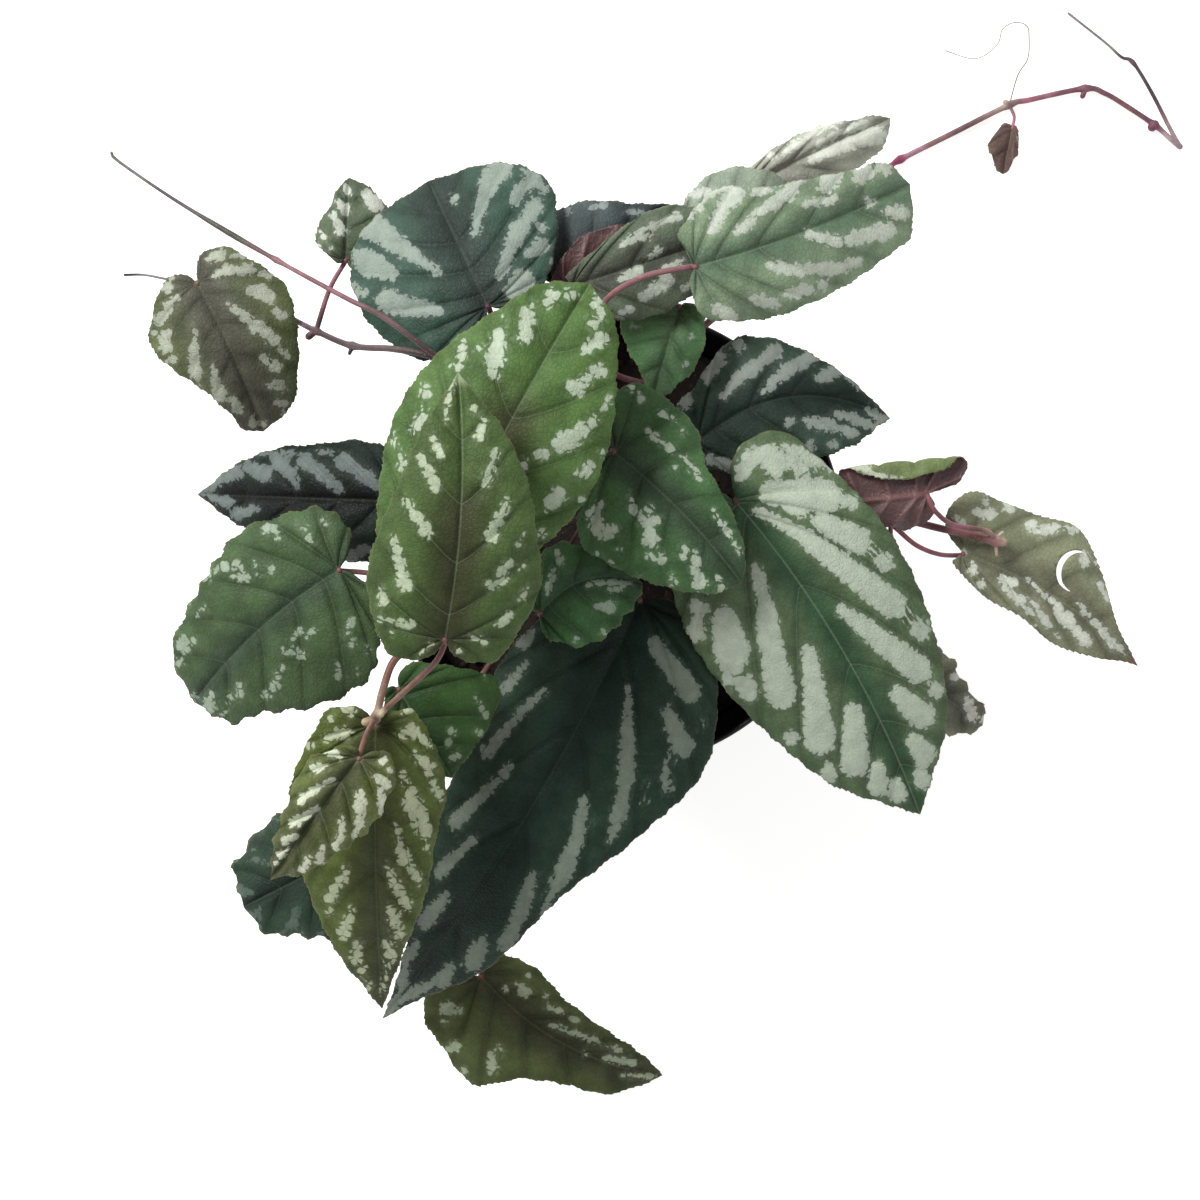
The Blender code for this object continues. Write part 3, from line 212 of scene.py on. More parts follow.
# The silver patches of each leaf, as places in the photo in pixels: (x, y, x, y, width) from the narrow
# inner end of a patch to its outer end, or (x, y, width) for a round one. PIXEL is the size of a pixel in
# plan, in millimetres, PHOTO_X and PHOTO_Y are where the middle of the pot is in the photo, INNER_WIDTH is
# how wide a patch is at its inner end as a share, and OUTSIDE stands for a place far from every patch.
PIXEL = 0.303
PHOTO_X = 613.4
PHOTO_Y = 536.6
INNER_WIDTH = 0.6
OUTSIDE = -20.0
PATCHES = {
    "leaf_01": [
        (209, 259, 221, 253, 12), (233, 255, 243, 254, 8), (216, 274, 228, 269, 12),
        (236, 270, 249, 268, 13), (259, 272, 270, 275, 9), (250, 288, 262, 292, 18), (270, 297, 14),
        (277, 309, 282, 315, 12), (226, 304, 236, 308, 7), (240, 312, 247, 317, 12), (257, 325, 16),
        (266, 331, 13), (274, 339, 15), (265, 358, 11), (276, 366, 14), (282, 351, 288, 354, 9),
        (269, 384, 283, 386, 11), (275, 401, 284, 403, 9), (284, 412, 7), (167, 287, 12),
        (176, 297, 168, 306, 11), (170, 308, 160, 319, 13), (170, 330, 164, 336, 11),
        (163, 335, 166, 346, 14), (155, 333, 6), (168, 361, 173, 358, 10), (194, 325, 195, 338, 8),
        (195, 341, 194, 355, 13), (194, 358, 196, 372, 14), (213, 364, 215, 378, 9),
        (216, 380, 219, 394, 15), (201, 386, 6), (233, 398, 238, 408, 12), (252, 415, 254, 423, 10),
        (264, 424, 8), (172, 275, 7)],
    "leaf_02": [
        (346, 185, 348, 191, 11), (365, 193, 376, 203, 19), (338, 201, 346, 209, 13),
        (333, 214, 341, 230, 14), (322, 231, 325, 236, 9), (320, 244, 6), (330, 248, 6)],
    "leaf_03": [
        (438, 272, 415, 255, 11), (412, 254, 392, 240, 21), (392, 238, 369, 224, 28),
        (390, 272, 368, 262, 26), (438, 310, 412, 306, 17), (410, 308, 390, 300, 24), (354, 286, 7),
        (355, 252, 7), (354, 228, 9), (362, 292, 9), (475, 232, 481, 205, 11), (482, 203, 490, 180, 19),
        (490, 180, 500, 168, 24), (454, 198, 7), (514, 202, 521, 188, 13), (521, 188, 534, 179, 15),
        (523, 170, 537, 172, 7), (543, 188, 9), (500, 275, 508, 255, 12), (509, 250, 520, 228, 19),
        (522, 226, 535, 206, 17), (530, 253, 541, 245, 15), (543, 228, 10), (512, 290, 522, 280, 22),
        (554, 262, 7)],
    "leaf_04": [(568, 211, 7), (590, 207, 604, 205, 7), (628, 211, 654, 216, 7)],
    "leaf_05": [
        (641, 231, 660, 222, 7), (660, 222, 677, 216, 9), (621, 245, 632, 238, 9), (632, 238, 648, 235, 7),
        (651, 257, 661, 248, 7), (643, 297, 667, 280, 15), (622, 278, 638, 270, 10),
        (621, 313, 630, 309, 8), (664, 268, 680, 261, 8), (682, 288, 696, 281, 8)],
    "leaf_06": [(663, 209, 675, 204, 7), (690, 195, 706, 190, 8)],
    "leaf_07": [
        (705, 193, 728, 182, 13), (750, 175, 17), (768, 172, 776, 178, 10), (713, 230, 722, 208, 10),
        (724, 206, 735, 194, 17), (697, 205, 10), (691, 214, 7), (754, 191, 766, 188, 7),
        (757, 213, 772, 204, 9), (774, 202, 788, 192, 14), (790, 190, 801, 178, 9), (738, 231, 750, 221, 7),
        (826, 186, 832, 172, 21), (861, 177, 862, 168, 18), (870, 173, 8), (882, 165, 887, 170, 8),
        (805, 203, 835, 198, 6), (889, 211, 902, 212, 12), (870, 202, 8), (850, 238, 888, 230, 14),
        (808, 233, 838, 241, 8), (772, 266, 800, 270, 10), (802, 269, 840, 267, 12),
        (842, 266, 857, 261, 8), (788, 294, 808, 289, 9), (754, 298, 775, 303, 8), (717, 307, 729, 314, 12),
        (823, 284, 7)],
    "leaf_08": [
        (771, 155, 9), (785, 152, 795, 143, 8), (812, 158, 840, 146, 13), (840, 146, 877, 134, 17),
        (817, 145, 838, 132, 7), (838, 132, 866, 123, 9), (802, 141, 824, 125, 8), (826, 124, 850, 114, 9)],
    "leaf_09": [
        (640, 316, 6), (632, 325, 7), (640, 324, 5), (686, 364, 6), (692, 336, 5), (620, 364, 628, 359, 7)],
    "leaf_10": [
        (707, 378, 718, 358, 15), (739, 346, 10), (723, 396, 735, 382, 8), (736, 380, 755, 366, 15),
        (757, 364, 776, 350, 14), (766, 391, 777, 378, 8), (777, 377, 790, 368, 14),
        (790, 368, 810, 357, 13), (820, 378, 837, 369, 14), (852, 378, 862, 384, 11),
        (809, 421, 830, 424, 13), (830, 425, 853, 433, 9), (837, 412, 855, 418, 9), (855, 418, 874, 426, 9),
        (868, 409, 884, 420, 8), (790, 421, 8), (688, 383, 685, 400, 14), (708, 458, 735, 466, 11),
        (811, 445, 9), (834, 444, 7)],
    "leaf_11": [
        (764, 451, 774, 460, 24), (799, 453, 799, 459, 19), (816, 462, 826, 463, 11),
        (744, 450, 742, 474, 10), (772, 492, 824, 495, 31), (788, 503, 800, 508, 13),
        (845, 500, 853, 502, 9), (822, 521, 858, 540, 22), (885, 561, 15), (758, 510, 800, 532, 7),
        (806, 537, 893, 604, 23), (921, 629, 16), (841, 609, 860, 622, 9), (864, 626, 917, 668, 23),
        (937, 689, 11), (899, 694, 922, 714, 22), (915, 741, 924, 753, 19), (921, 772, 922, 779, 14),
        (695, 605, 701, 608, 10), (697, 620, 696, 632, 13), (725, 618, 732, 650, 32),
        (729, 673, 729, 683, 9), (747, 681, 749, 692, 14), (757, 568, 763, 595, 9),
        (766, 605, 770, 640, 21), (770, 640, 781, 692, 26), (809, 650, 813, 680, 15),
        (814, 685, 820, 738, 26), (854, 712, 855, 762, 23), (878, 767, 878, 785, 15),
        (829, 769, 829, 773, 12), (896, 784, 898, 792, 14), (790, 735, 792, 739, 9)],
    "leaf_12": [
        (846, 466, 869, 469, 7), (865, 474, 885, 477, 8), (885, 477, 899, 480, 6), (879, 484, 918, 490, 5),
        (947, 475, 968, 472, 7), (946, 488, 957, 488, 8), (970, 486, 6)],
    "leaf_13": [
        (987, 493, 7), (976, 511, 990, 513, 14), (985, 502, 9), (1005, 499, 1010, 507, 13),
        (954, 516, 962, 522, 8), (1031, 525, 14), (1040, 533, 1053, 527, 13), (1068, 528, 1074, 529, 10),
        (1084, 551, 1085, 562, 12), (1096, 563, 7), (1095, 581, 1101, 585, 9), (1104, 590, 1108, 598, 7),
        (972, 563, 973, 571, 11), (982, 583, 10), (964, 552, 7), (1001, 578, 1012, 582, 13),
        (1005, 587, 1020, 600, 12), (1020, 600, 1031, 612, 8), (1034, 600, 1048, 624, 10),
        (1028, 578, 1045, 595, 6), (1045, 595, 1060, 606, 8), (1057, 611, 1068, 620, 17),
        (1068, 620, 1086, 641, 13), (1078, 602, 1086, 613, 8), (1093, 620, 1105, 633, 10),
        (1105, 633, 1114, 645, 12), (1125, 652, 6), (1057, 636, 6), (1036, 624, 6)],
    "leaf_14": [(968, 700, 972, 715, 11), (955, 676, 8), (985, 720, 9)],
    "leaf_15": [
        (632, 388, 7), (640, 397, 10), (663, 412, 8), (669, 416, 674, 420, 5), (683, 432, 7),
        (648, 431, 656, 437, 8), (657, 438, 672, 449, 8), (682, 454, 692, 466, 7), (674, 466, 5),
        (690, 470, 703, 479, 7), (714, 510, 729, 533, 7), (732, 538, 740, 551, 7), (600, 503, 597, 511, 11),
        (598, 514, 597, 526, 16), (589, 515, 8), (603, 536, 612, 530, 13), (631, 495, 635, 512, 8),
        (642, 510, 650, 507, 6), (640, 521, 656, 518, 11), (648, 519, 651, 539, 17),
        (645, 541, 656, 538, 9), (650, 554, 10), (660, 558, 11), (619, 549, 5), (670, 574, 674, 581, 8),
        (684, 544, 685, 556, 9), (694, 552, 697, 562, 10), (696, 565, 700, 583, 16), (719, 577, 6),
        (722, 584, 723, 594, 9), (728, 595, 730, 600, 8), (707, 595, 5), (596, 554, 6), (611, 563, 6),
        (640, 577, 5)],
    "leaf_16": [
        (500, 334, 495, 359, 21), (489, 368, 495, 374, 9), (527, 310, 527, 318, 17),
        (526, 321, 526, 334, 18), (505, 315, 6), (481, 347, 7), (553, 295, 16), (549, 304, 9),
        (534, 303, 6), (573, 289, 574, 293, 11), (597, 296, 597, 303, 12), (589, 321, 600, 316, 13),
        (586, 350, 600, 338, 17), (576, 387, 19), (588, 378, 14), (599, 371, 15), (604, 407, 609, 400, 10),
        (543, 453, 15), (557, 445, 568, 440, 24), (581, 431, 19), (592, 420, 13), (578, 477, 588, 468, 14),
        (603, 452, 7), (547, 506, 559, 494, 18), (582, 499, 6), (542, 533, 9), (525, 460, 524, 465, 8),
        (450, 366, 460, 365, 10), (462, 342, 463, 350, 12), (424, 386, 426, 393, 12),
        (415, 428, 422, 419, 16), (395, 433, 395, 440, 9), (402, 455, 402, 466, 10)],
    "leaf_17": [
        (455, 375, 448, 405, 7), (447, 408, 446, 420, 6), (474, 406, 474, 411, 10),
        (432, 434, 441, 452, 12), (484, 421, 480, 436, 11), (420, 453, 437, 486, 13),
        (497, 450, 486, 480, 13), (406, 500, 427, 531, 14), (508, 500, 490, 537, 14),
        (524, 534, 519, 543, 8), (394, 538, 405, 585, 15), (510, 561, 503, 571, 13),
        (509, 577, 490, 586, 11), (527, 588, 522, 598, 9), (525, 562, 521, 567, 7),
        (381, 588, 383, 602, 11), (380, 618, 412, 624, 9), (497, 624, 508, 616, 12),
        (470, 636, 485, 640, 8), (420, 655, 433, 642, 5), (458, 650, 6), (392, 633, 5)],
    "leaf_18": [
        (264, 532, 271, 527, 10), (278, 535, 7), (299, 524, 5), (306, 528, 5), (309, 536, 6), (313, 543, 5),
        (325, 521, 6), (224, 566, 11), (237, 565, 10), (235, 575, 246, 577, 11), (255, 565, 9),
        (271, 570, 10), (258, 573, 5), (208, 577, 6), (213, 570, 5), (198, 581, 5), (188, 602, 5),
        (205, 608, 5), (199, 613, 5), (181, 636, 184, 646, 13), (192, 640, 8), (179, 662, 10),
        (194, 696, 7), (210, 694, 209, 706, 13), (231, 695, 6), (240, 684, 239, 694, 9), (227, 704, 5),
        (224, 713, 5), (294, 637, 299, 632, 8), (306, 636, 314, 629, 7), (285, 651, 8),
        (296, 648, 301, 655, 10), (284, 667, 6), (277, 674, 276, 686, 9), (266, 695, 10), (352, 621, 9),
        (346, 632, 8), (353, 642, 8), (368, 648, 6), (338, 664, 340, 676, 9), (358, 671, 6)],
    "leaf_19": [
        (198, 493, 210, 490, 10), (213, 483, 236, 472, 15), (210, 495, 228, 502, 13),
        (246, 466, 265, 473, 18), (299, 488, 293, 475, 10), (292, 475, 279, 462, 18),
        (340, 488, 322, 474, 15), (322, 473, 306, 460, 18), (378, 486, 364, 475, 17),
        (362, 472, 344, 461, 19), (319, 450, 331, 452, 7), (257, 508, 237, 513, 14),
        (368, 548, 352, 555, 15), (248, 456, 270, 452, 7), (279, 451, 293, 453, 7)],
    "leaf_20": [
        (655, 643, 690, 690, 25), (668, 712, 683, 745, 23), (664, 764, 669, 788, 13), (647, 782, 6),
        (645, 800, 7), (704, 722, 8), (629, 686, 627, 712, 9), (628, 722, 627, 775, 19),
        (626, 778, 619, 815, 18), (617, 820, 611, 840, 10), (584, 799, 578, 835, 15),
        (578, 838, 563, 872, 20), (562, 874, 552, 893, 14), (548, 905, 543, 914, 8), (592, 821, 5),
        (532, 876, 521, 912, 17), (520, 915, 507, 942, 18), (482, 941, 474, 961, 21),
        (450, 967, 443, 979, 17), (430, 985, 408, 994, 13), (545, 689, 520, 713, 10),
        (518, 716, 487, 752, 13), (526, 663, 505, 688, 11), (533, 630, 522, 645, 12),
        (510, 765, 504, 773, 11), (496, 781, 455, 822, 15), (473, 839, 440, 871, 14),
        (446, 896, 425, 920, 18), (417, 943, 407, 956, 14), (404, 970, 402, 984, 14),
        (398, 1000, 388, 1010, 14)],
    "leaf_21": [
        (557, 552, 560, 560, 9), (554, 571, 548, 592, 7), (608, 589, 618, 589, 8), (588, 583, 630, 582, 7),
        (597, 606, 610, 606, 13), (577, 638, 6), (604, 631, 7)],
    "leaf_22": [
        (476, 695, 486, 716, 7), (479, 732, 9), (452, 731, 9), (449, 742, 8), (450, 759, 457, 755, 9),
        (486, 676, 5)],
    "leaf_23": [
        (343, 706, 352, 711, 9), (364, 704, 6), (327, 737, 343, 732, 13), (350, 731, 7), (330, 719, 6),
        (311, 745, 6), (404, 710, 411, 707, 8), (419, 715, 5), (403, 732, 414, 731, 15),
        (423, 740, 429, 744, 9), (416, 754, 430, 768, 12), (434, 784, 439, 795, 10), (404, 776, 10),
        (411, 790, 412, 806, 17), (421, 805, 424, 830, 15), (414, 819, 10), (396, 826, 398, 832, 7),
        (399, 842, 405, 858, 13), (410, 864, 418, 878, 11), (428, 848, 8), (387, 864, 390, 870, 5),
        (391, 874, 397, 888, 10), (401, 889, 407, 904, 11), (390, 909, 396, 922, 13),
        (398, 926, 400, 936, 9), (387, 942, 391, 955, 11), (386, 970, 7), (383, 982, 382, 990, 5),
        (347, 866, 343, 878, 9), (338, 882, 331, 897, 13), (330, 911, 7), (352, 909, 6),
        (350, 915, 344, 932, 13), (359, 944, 356, 957, 11), (363, 970, 9), (367, 981, 371, 988, 6)],
    "leaf_24": [
        (340, 757, 328, 749, 9), (326, 765, 315, 768, 9), (334, 779, 318, 787, 7), (316, 788, 304, 797, 9),
        (300, 801, 6), (317, 808, 307, 814, 8), (306, 815, 294, 822, 11), (296, 835, 286, 840, 9),
        (286, 850, 280, 854, 8), (277, 862, 5), (292, 873, 5), (383, 760, 8), (390, 769, 5),
        (376, 776, 386, 784, 12), (380, 793, 383, 802, 11), (381, 811, 7), (360, 793, 361, 808, 14),
        (360, 822, 13), (355, 834, 7), (342, 818, 341, 834, 8), (341, 834, 336, 846, 9),
        (324, 845, 320, 860, 9), (308, 858, 303, 869, 9)],
    "leaf_26": [
        (447, 1008, 15), (456, 1012, 459, 1009, 7), (445, 1021, 7), (448, 1049, 455, 1046, 12),
        (464, 1069, 8), (491, 1053, 493, 1068, 11), (498, 1044, 502, 1052, 5), (520, 985, 526, 991, 13),
        (528, 976, 7), (506, 988, 7), (546, 996, 6), (546, 1007, 562, 1011, 7), (571, 1018, 577, 1020, 7),
        (551, 1024, 561, 1027, 7), (568, 1032, 581, 1033, 6), (583, 1035, 596, 1040, 7),
        (609, 1046, 620, 1049, 7), (586, 1053, 6), (606, 1058, 632, 1062, 9), (623, 1074, 655, 1076, 6)],
}

# The side veins of some leaves, in the same pixels: where each pair of them leaves the midrib, and where it
# meets the left and the right margin, from the stalk to the tip
VEINS = {
    "leaf_11": [
        ((735, 500), (850, 492), (690, 612)), ((737, 503), (885, 535), (700, 640)),
        ((748, 514), (918, 600), (766, 722)), ((800, 585), (940, 668), (803, 765)),
        ((848, 665), (950, 700), (842, 787)), ((878, 721), (945, 740), (868, 797)),
        ((900, 765), (935, 775), (890, 808))],
}

# Where the rows of patches of a leaf without PATCHES start and end on the way to the margin, their width at
# the start as a share, and the places of the small patches near the margin in a cell
ROW_START = 0.5
ROW_END = 0.8
ROW_INNER_WIDTH = 0.45
SMALL_PLACES = (0.25, 0.72)

LEAF_SLOTS = {
    "leaf_dark": (3, 4, 10, 14, 19, 20, 25),
    "leaf_green": (2, 9, 11, 15, 18, 21, 22),
    "leaf_bright": (16, 17),
    "leaf_olive": (1, 12, 13, 23, 24, 26, 27),
    "leaf_pale": (5, 6, 7, 8),
}

# The mesh of a blade: the places of its columns in a cell, denser next to a vein; its rows, and how far out the
# last one is; the points of its margin to each column; how unevenly its veins are spaced; how finely the place
# of a vein on the midrib is looked for; and how near two points are that are made one
CELL_COLUMNS = (0.0, 0.06, 0.13, 0.22, 0.35, 0.5, 0.65, 0.78, 0.87, 0.94)
BLADE_ROWS = 26
LAST_ROW = 0.97
MARGIN_POINTS = 4
VEIN_SHAKE = 0.14
RIB_STEPS = 200
SAME_POINT = 0.002

# The teeth and waves of a margin: sizes, lengths, how both drift as (by how much, over what length), and over
# what lengths they fade at the stalk and at the tip
TOOTH = 0.45
TOOTH_STEP = 2.2
TOOTH_MEAN = 0.75
TOOTH_LEAN = 1.6
TOOTH_SUNK = 0.35
TOOTH_DRIFT = (0.35, 5.1)
TOOTH_CHANGE = (0.35, 3.7)
TOOTH_FADE = (6, 3)
SCALLOP_STEP = 8.5
SCALLOP_DRIFT = (1.3, 7.3)
SCALLOP_FADE = (9, 6)

# The relief of a blade: grooves over the veins, cells that bulge more the wider they are up to a limit, small
# puckers and slow waves, ridges under the veins, and a margin that thins out
GROOVE_DEPTH = 0.5
VEIN_GROOVE = 0.8
MIDRIB_GROOVE = 0.9
MIDRIB_CLEAR = 1.1
SWELL_POWER = 0.6
SWELL_CELL = 9
SWELL_MOST = 1.3
PUCKER_SIZE = 3.4
PUCKER_POWER = 0.3
SLOW_HEIGHT = 0.9
SLOW_SIZE = 13
MIDRIB_RIDGE = 0.45
MIDRIB_WIDTH = 0.8
VEIN_RIDGE = 0.18
VEIN_WIDTH = 0.6
RIM_TAPER = 0.55
RIM_TAPER_REACH = 0.8

# The flat layout of a blade for baking: the spare room beside it in mm, and as shares of the picture the edge
# that stays free, the width of one of the two sheets, and that of the strip for the rim
MAP_SPARE = 2
MAP_EDGE = 0.01
MAP_WIDTH = 0.47
MAP_RIM = 0.003

# A torn slot in one leaf, as in the part's source but smoother, and the numbers that its cut faces keep for
# the paint
TORN_LEAF = "leaf_13"
TEAR_PLACE = (139.9, -10.7, 104.0)
TEAR_RADIUS = 6.4
TEAR_WIDTH = 1.6
TEAR_FROM = 75
TEAR_TO = 245
TEAR_STEPS = 24
TEAR_TIP = 0.1
TEAR_REACH = 12.0
TEAR_NUMBERS = {"places": (OUTSIDE, 9.0, 0.5), "veins": (9.0, 30.0, 30.0)}

# Each vine: the place of its root in the soil (true, not along the line of sight), the middles of its stem
# after that, its radius there and at its end, which of those middles are swollen nodes, which one is a furled
# shoot (spindle), and what grows from it: stalks, side shoots, buds, stubs and thin tendrils, each with its
# own middles and radii, starting inside the stem. As in the part's source, but for the buds, the stubs, the
# furled shoot, thinner tendrils and the place of one node.
VINES = {
    "vine_upper_left": dict(
        root=(-25, 22), nodes=(6,), radii=(1.6, 0.5), spindle=7,
        stem=[(-32, 34, 132), (-44, 48, 151), (-55, 56, 158), (-70, 67, 158), (-80, 72, 156),
              (-93, 79, 152), (-102, 84, 149), (-116.5, 92.3, 145), (-134, 103, 141), (-150, 114, 138),
              (-152, 116.5, 138)],
        shoots=[
            dict(path=[(-44, 48, 151), (-54, 54.5, 154), (-66, 57, 150), (-79, 58, 139), (-90, 62.5, 127),
                       (-97, 66, 119), (-110, 72, 115), (-121, 76, 119), (-126, 77, 124.8)],
                 radii=(1.4, 1.0), nodes=(3, 4)),
            dict(path=[(-90, 62.5, 127), (-86, 75, 129), (-81.5, 83, 127.8)], radii=(1.1, 0.8)),
            dict(path=[(-90, 62.5, 127), (-91, 61.8, 126.9), (-92.2, 60.9, 126.8)], radii=(1.2, 1.3)),
            dict(path=[(-79, 58, 139), (-79.4, 57, 139), (-79.9, 55.7, 139)], radii=(1.0, 0.6)),
            dict(path=[(-121, 76, 119), (-134, 78, 119), (-142, 79.5, 119), (-148, 79.5, 120)],
                 radii=(0.55, 0.45)),
            dict(path=[(-32, 34, 132), (-32, 52, 144), (-37.5, 69, 149.8)], radii=(1.2, 1.0)),
            dict(path=[(-25, 22, 112), (-42, 18, 130), (-56, 13, 135.5), (-64.5, 11, 135.8)],
                 radii=(1.2, 1.0)),
        ]),
    "vine_upper_right": dict(
        root=(8, 34), nodes=(8, 10, 12, 15), radii=(1.6, 1.2),
        stem=[(12, 46, 119), (20, 58, 128), (31, 67, 127), (42, 79, 114), (56, 93, 82), (68, 103, 46),
              (78, 109, 16), (84, 112.5, 4.5), (87, 114.5, 2.2), (102, 122, 1.9), (120, 131, 2.2),
              (126, 132.5, 2), (143, 136, 2.3), (149, 134.5, 2), (155, 131, 2), (164, 125, 2.3),
              (168, 121.5, 2), (171.7, 118.4, 2.2)],
        shoots=[
            dict(path=[(171.7, 118.4, 2.2), (168.6, 124, 2), (163, 135, 2), (157.4, 144, 2),
                       (154, 145.5, 1.9), (149, 150, 1.8), (138, 158.7, 1.6)],
                 radii=(1.1, 0.5), nodes=(3,)),
            dict(path=[(12, 46, 119), (0, 50, 135), (-6, 62, 156), (-2, 72, 168), (7, 78, 173),
                       (15, 80.5, 174.5), (24.5, 82, 173.8)], radii=(1.3, 1.1)),
            dict(path=[(31, 67, 127), (26, 78, 137), (22.3, 87.5, 141.8)], radii=(1.1, 0.9)),
            dict(path=[(42, 79, 114), (40, 92, 124), (38.2, 103.5, 129.8)], radii=(1.1, 0.9)),
            dict(path=[(20, 58, 128), (20.5, 66, 137), (20, 69.7, 141.8)], radii=(1.1, 0.9)),
            dict(path=[(120, 131, 2.2), (121.5, 127.5, 4), (121, 124.5, 4.2)], radii=(0.8, 0.7)),
            dict(path=[(143, 136, 2.3), (142.7, 135, 2.3), (142.2, 133.6, 2.3)], radii=(1.2, 1.0)),
            dict(path=[(164, 125, 2.3), (163.7, 124.7, 2.3), (163.3, 124.3, 2.3)], radii=(2.0, 1.9)),
            dict(path=[(120, 131, 2.4), (119.4, 131.5, 2.8), (118.8, 131.9, 3.1)], radii=(1.3, 1.0)),
            dict(path=[(120, 131, 2.2), (122.6, 140, 2), (125.6, 145, 1.5), (126, 151.4, 1.2),
                       (125.3, 155, 1.2), (121.7, 156, 1.2), (118, 154, 1.2), (116.2, 149, 1.2),
                       (109.6, 145, 1.2), (100.5, 147.5, 1.2)], radii=(0.32, 0.22)),
        ]),
    "vine_right": dict(
        root=(32, 2), nodes=(5,), radii=(1.6, 1.5),
        stem=[(40, 3, 119), (55, 4, 123), (70, 5.5, 122.5), (84, 6, 120.5), (100, 2.5, 118.5),
              (115.6, -1, 117.5), (118, -1.6, 117.5)],
        shoots=[
            dict(path=[(115.6, -1, 117.5), (113, 2, 121), (103, 3.8, 125.5), (97.5, 8, 128.8),
                       (95.3, 12.6, 129.4)], radii=(1.1, 0.9)),
            dict(path=[(82, 6, 120.8), (86, 2.5, 120), (92, -2.5, 117), (99, -5.2, 112.5),
                       (105.5, -5.4, 109.6)], radii=(1.1, 0.9)),
            dict(path=[(115.6, -1, 117.5), (116.8, 0.4, 118), (117.9, 1.5, 118.4)], radii=(0.8, 0.5)),
            dict(path=[(115.6, -1, 117.5), (116, -3.2, 117.3), (116.2, -5.4, 117)], radii=(0.9, 0.5)),
            dict(path=[(84, 6, 120.5), (84.5, -8, 114), (88, -28, 102), (91.7, -41.3, 95.8)],
                 radii=(1.0, 0.8)),
            dict(path=[(31.8, 2, 111), (35, 7, 132), (37, 10.6, 143.8)], radii=(1.4, 1.2)),
            dict(path=[(31.8, 2, 108.5), (28, 14, 118), (26, 28.3, 127.8)], radii=(1.2, 1.0)),
        ]),
    "vine_lower_left": dict(
        root=(-20, -16), nodes=(5,), radii=(1.6, 1.4),
        stem=[(-30, -20, 132), (-46, -26, 158), (-60, -33, 169), (-66.5, -37.5, 171), (-70, -47, 172),
              (-72, -54.7, 172), (-75, -56, 172.5)],
        shoots=[
            dict(path=[(-72, -54.7, 172), (-63.5, -47, 182), (-54, -38, 194), (-51, -32, 197.4)],
                 radii=(1.2, 1.0)),
            dict(path=[(-72, -54.7, 172), (-75, -60, 178), (-76.9, -66.3, 181.8)], radii=(1.0, 0.9)),
            dict(path=[(-72, -54.7, 173), (-71.2, -54.1, 174), (-70.4, -53.6, 174.8)], radii=(1.3, 1.1)),
            dict(path=[(-40, -42, 127), (-55, -46, 140), (-64.5, -46, 149.6)], radii=(1.0, 0.9)),
            dict(path=[(-46, -26, 158), (-60, -14, 150), (-73, -11, 147), (-82.4, -10.2, 149.4)],
                 radii=(1.2, 1.0)),
            dict(path=[(-20, -15.8, 112.5), (-40, -42, 127), (-50, -60, 127), (-64, -82, 121),
                       (-77.3, -94.3, 115.8)], radii=(1.1, 0.9)),
        ]),
    "crown": dict(
        root=(-6, 6), nodes=(1,), radii=(1.8, 1.5),
        stem=[(-6, 6, 125), (-8, 6, 138), (-8, 6, 150)],
        shoots=[
            dict(path=[(-8, 6, 149), (-25, 2, 166), (-45, -5, 176), (-52.3, -7, 177.8)], radii=(1.3, 1.1)),
            dict(path=[(-8, 6, 140), (-4, 16, 154), (-0.3, 25.3, 160.8)], radii=(1.3, 1.1)),
            dict(path=[(-8, 6, 138), (-16, -8, 144), (-21.8, -22.3, 147.8)], radii=(1.1, 0.9)),
            dict(path=[(-6, 6, 118), (2, -6, 125), (7.5, -18.3, 129.6)], radii=(1.4, 1.2)),
            dict(path=[(-7, 6, 128), (-13, 40, 142), (-14, 62, 149), (-12.4, 75.3, 151.8)], radii=(1.2, 1.0)),
            dict(path=[(-6, 6, 122), (-19, 45, 131), (-18.3, 76.3, 135.8)], radii=(1.2, 1.0)),
        ]),
    "vine_front": dict(
        root=(-14, -44), nodes=(3,), radii=(1.5, 1.1),
        stem=[(-18, -56, 119), (-22, -66, 123), (-27, -78, 115), (-33, -99, 74), (-37, -119, 47),
              (-40, -132, 50.9)],
        shoots=[]),
}

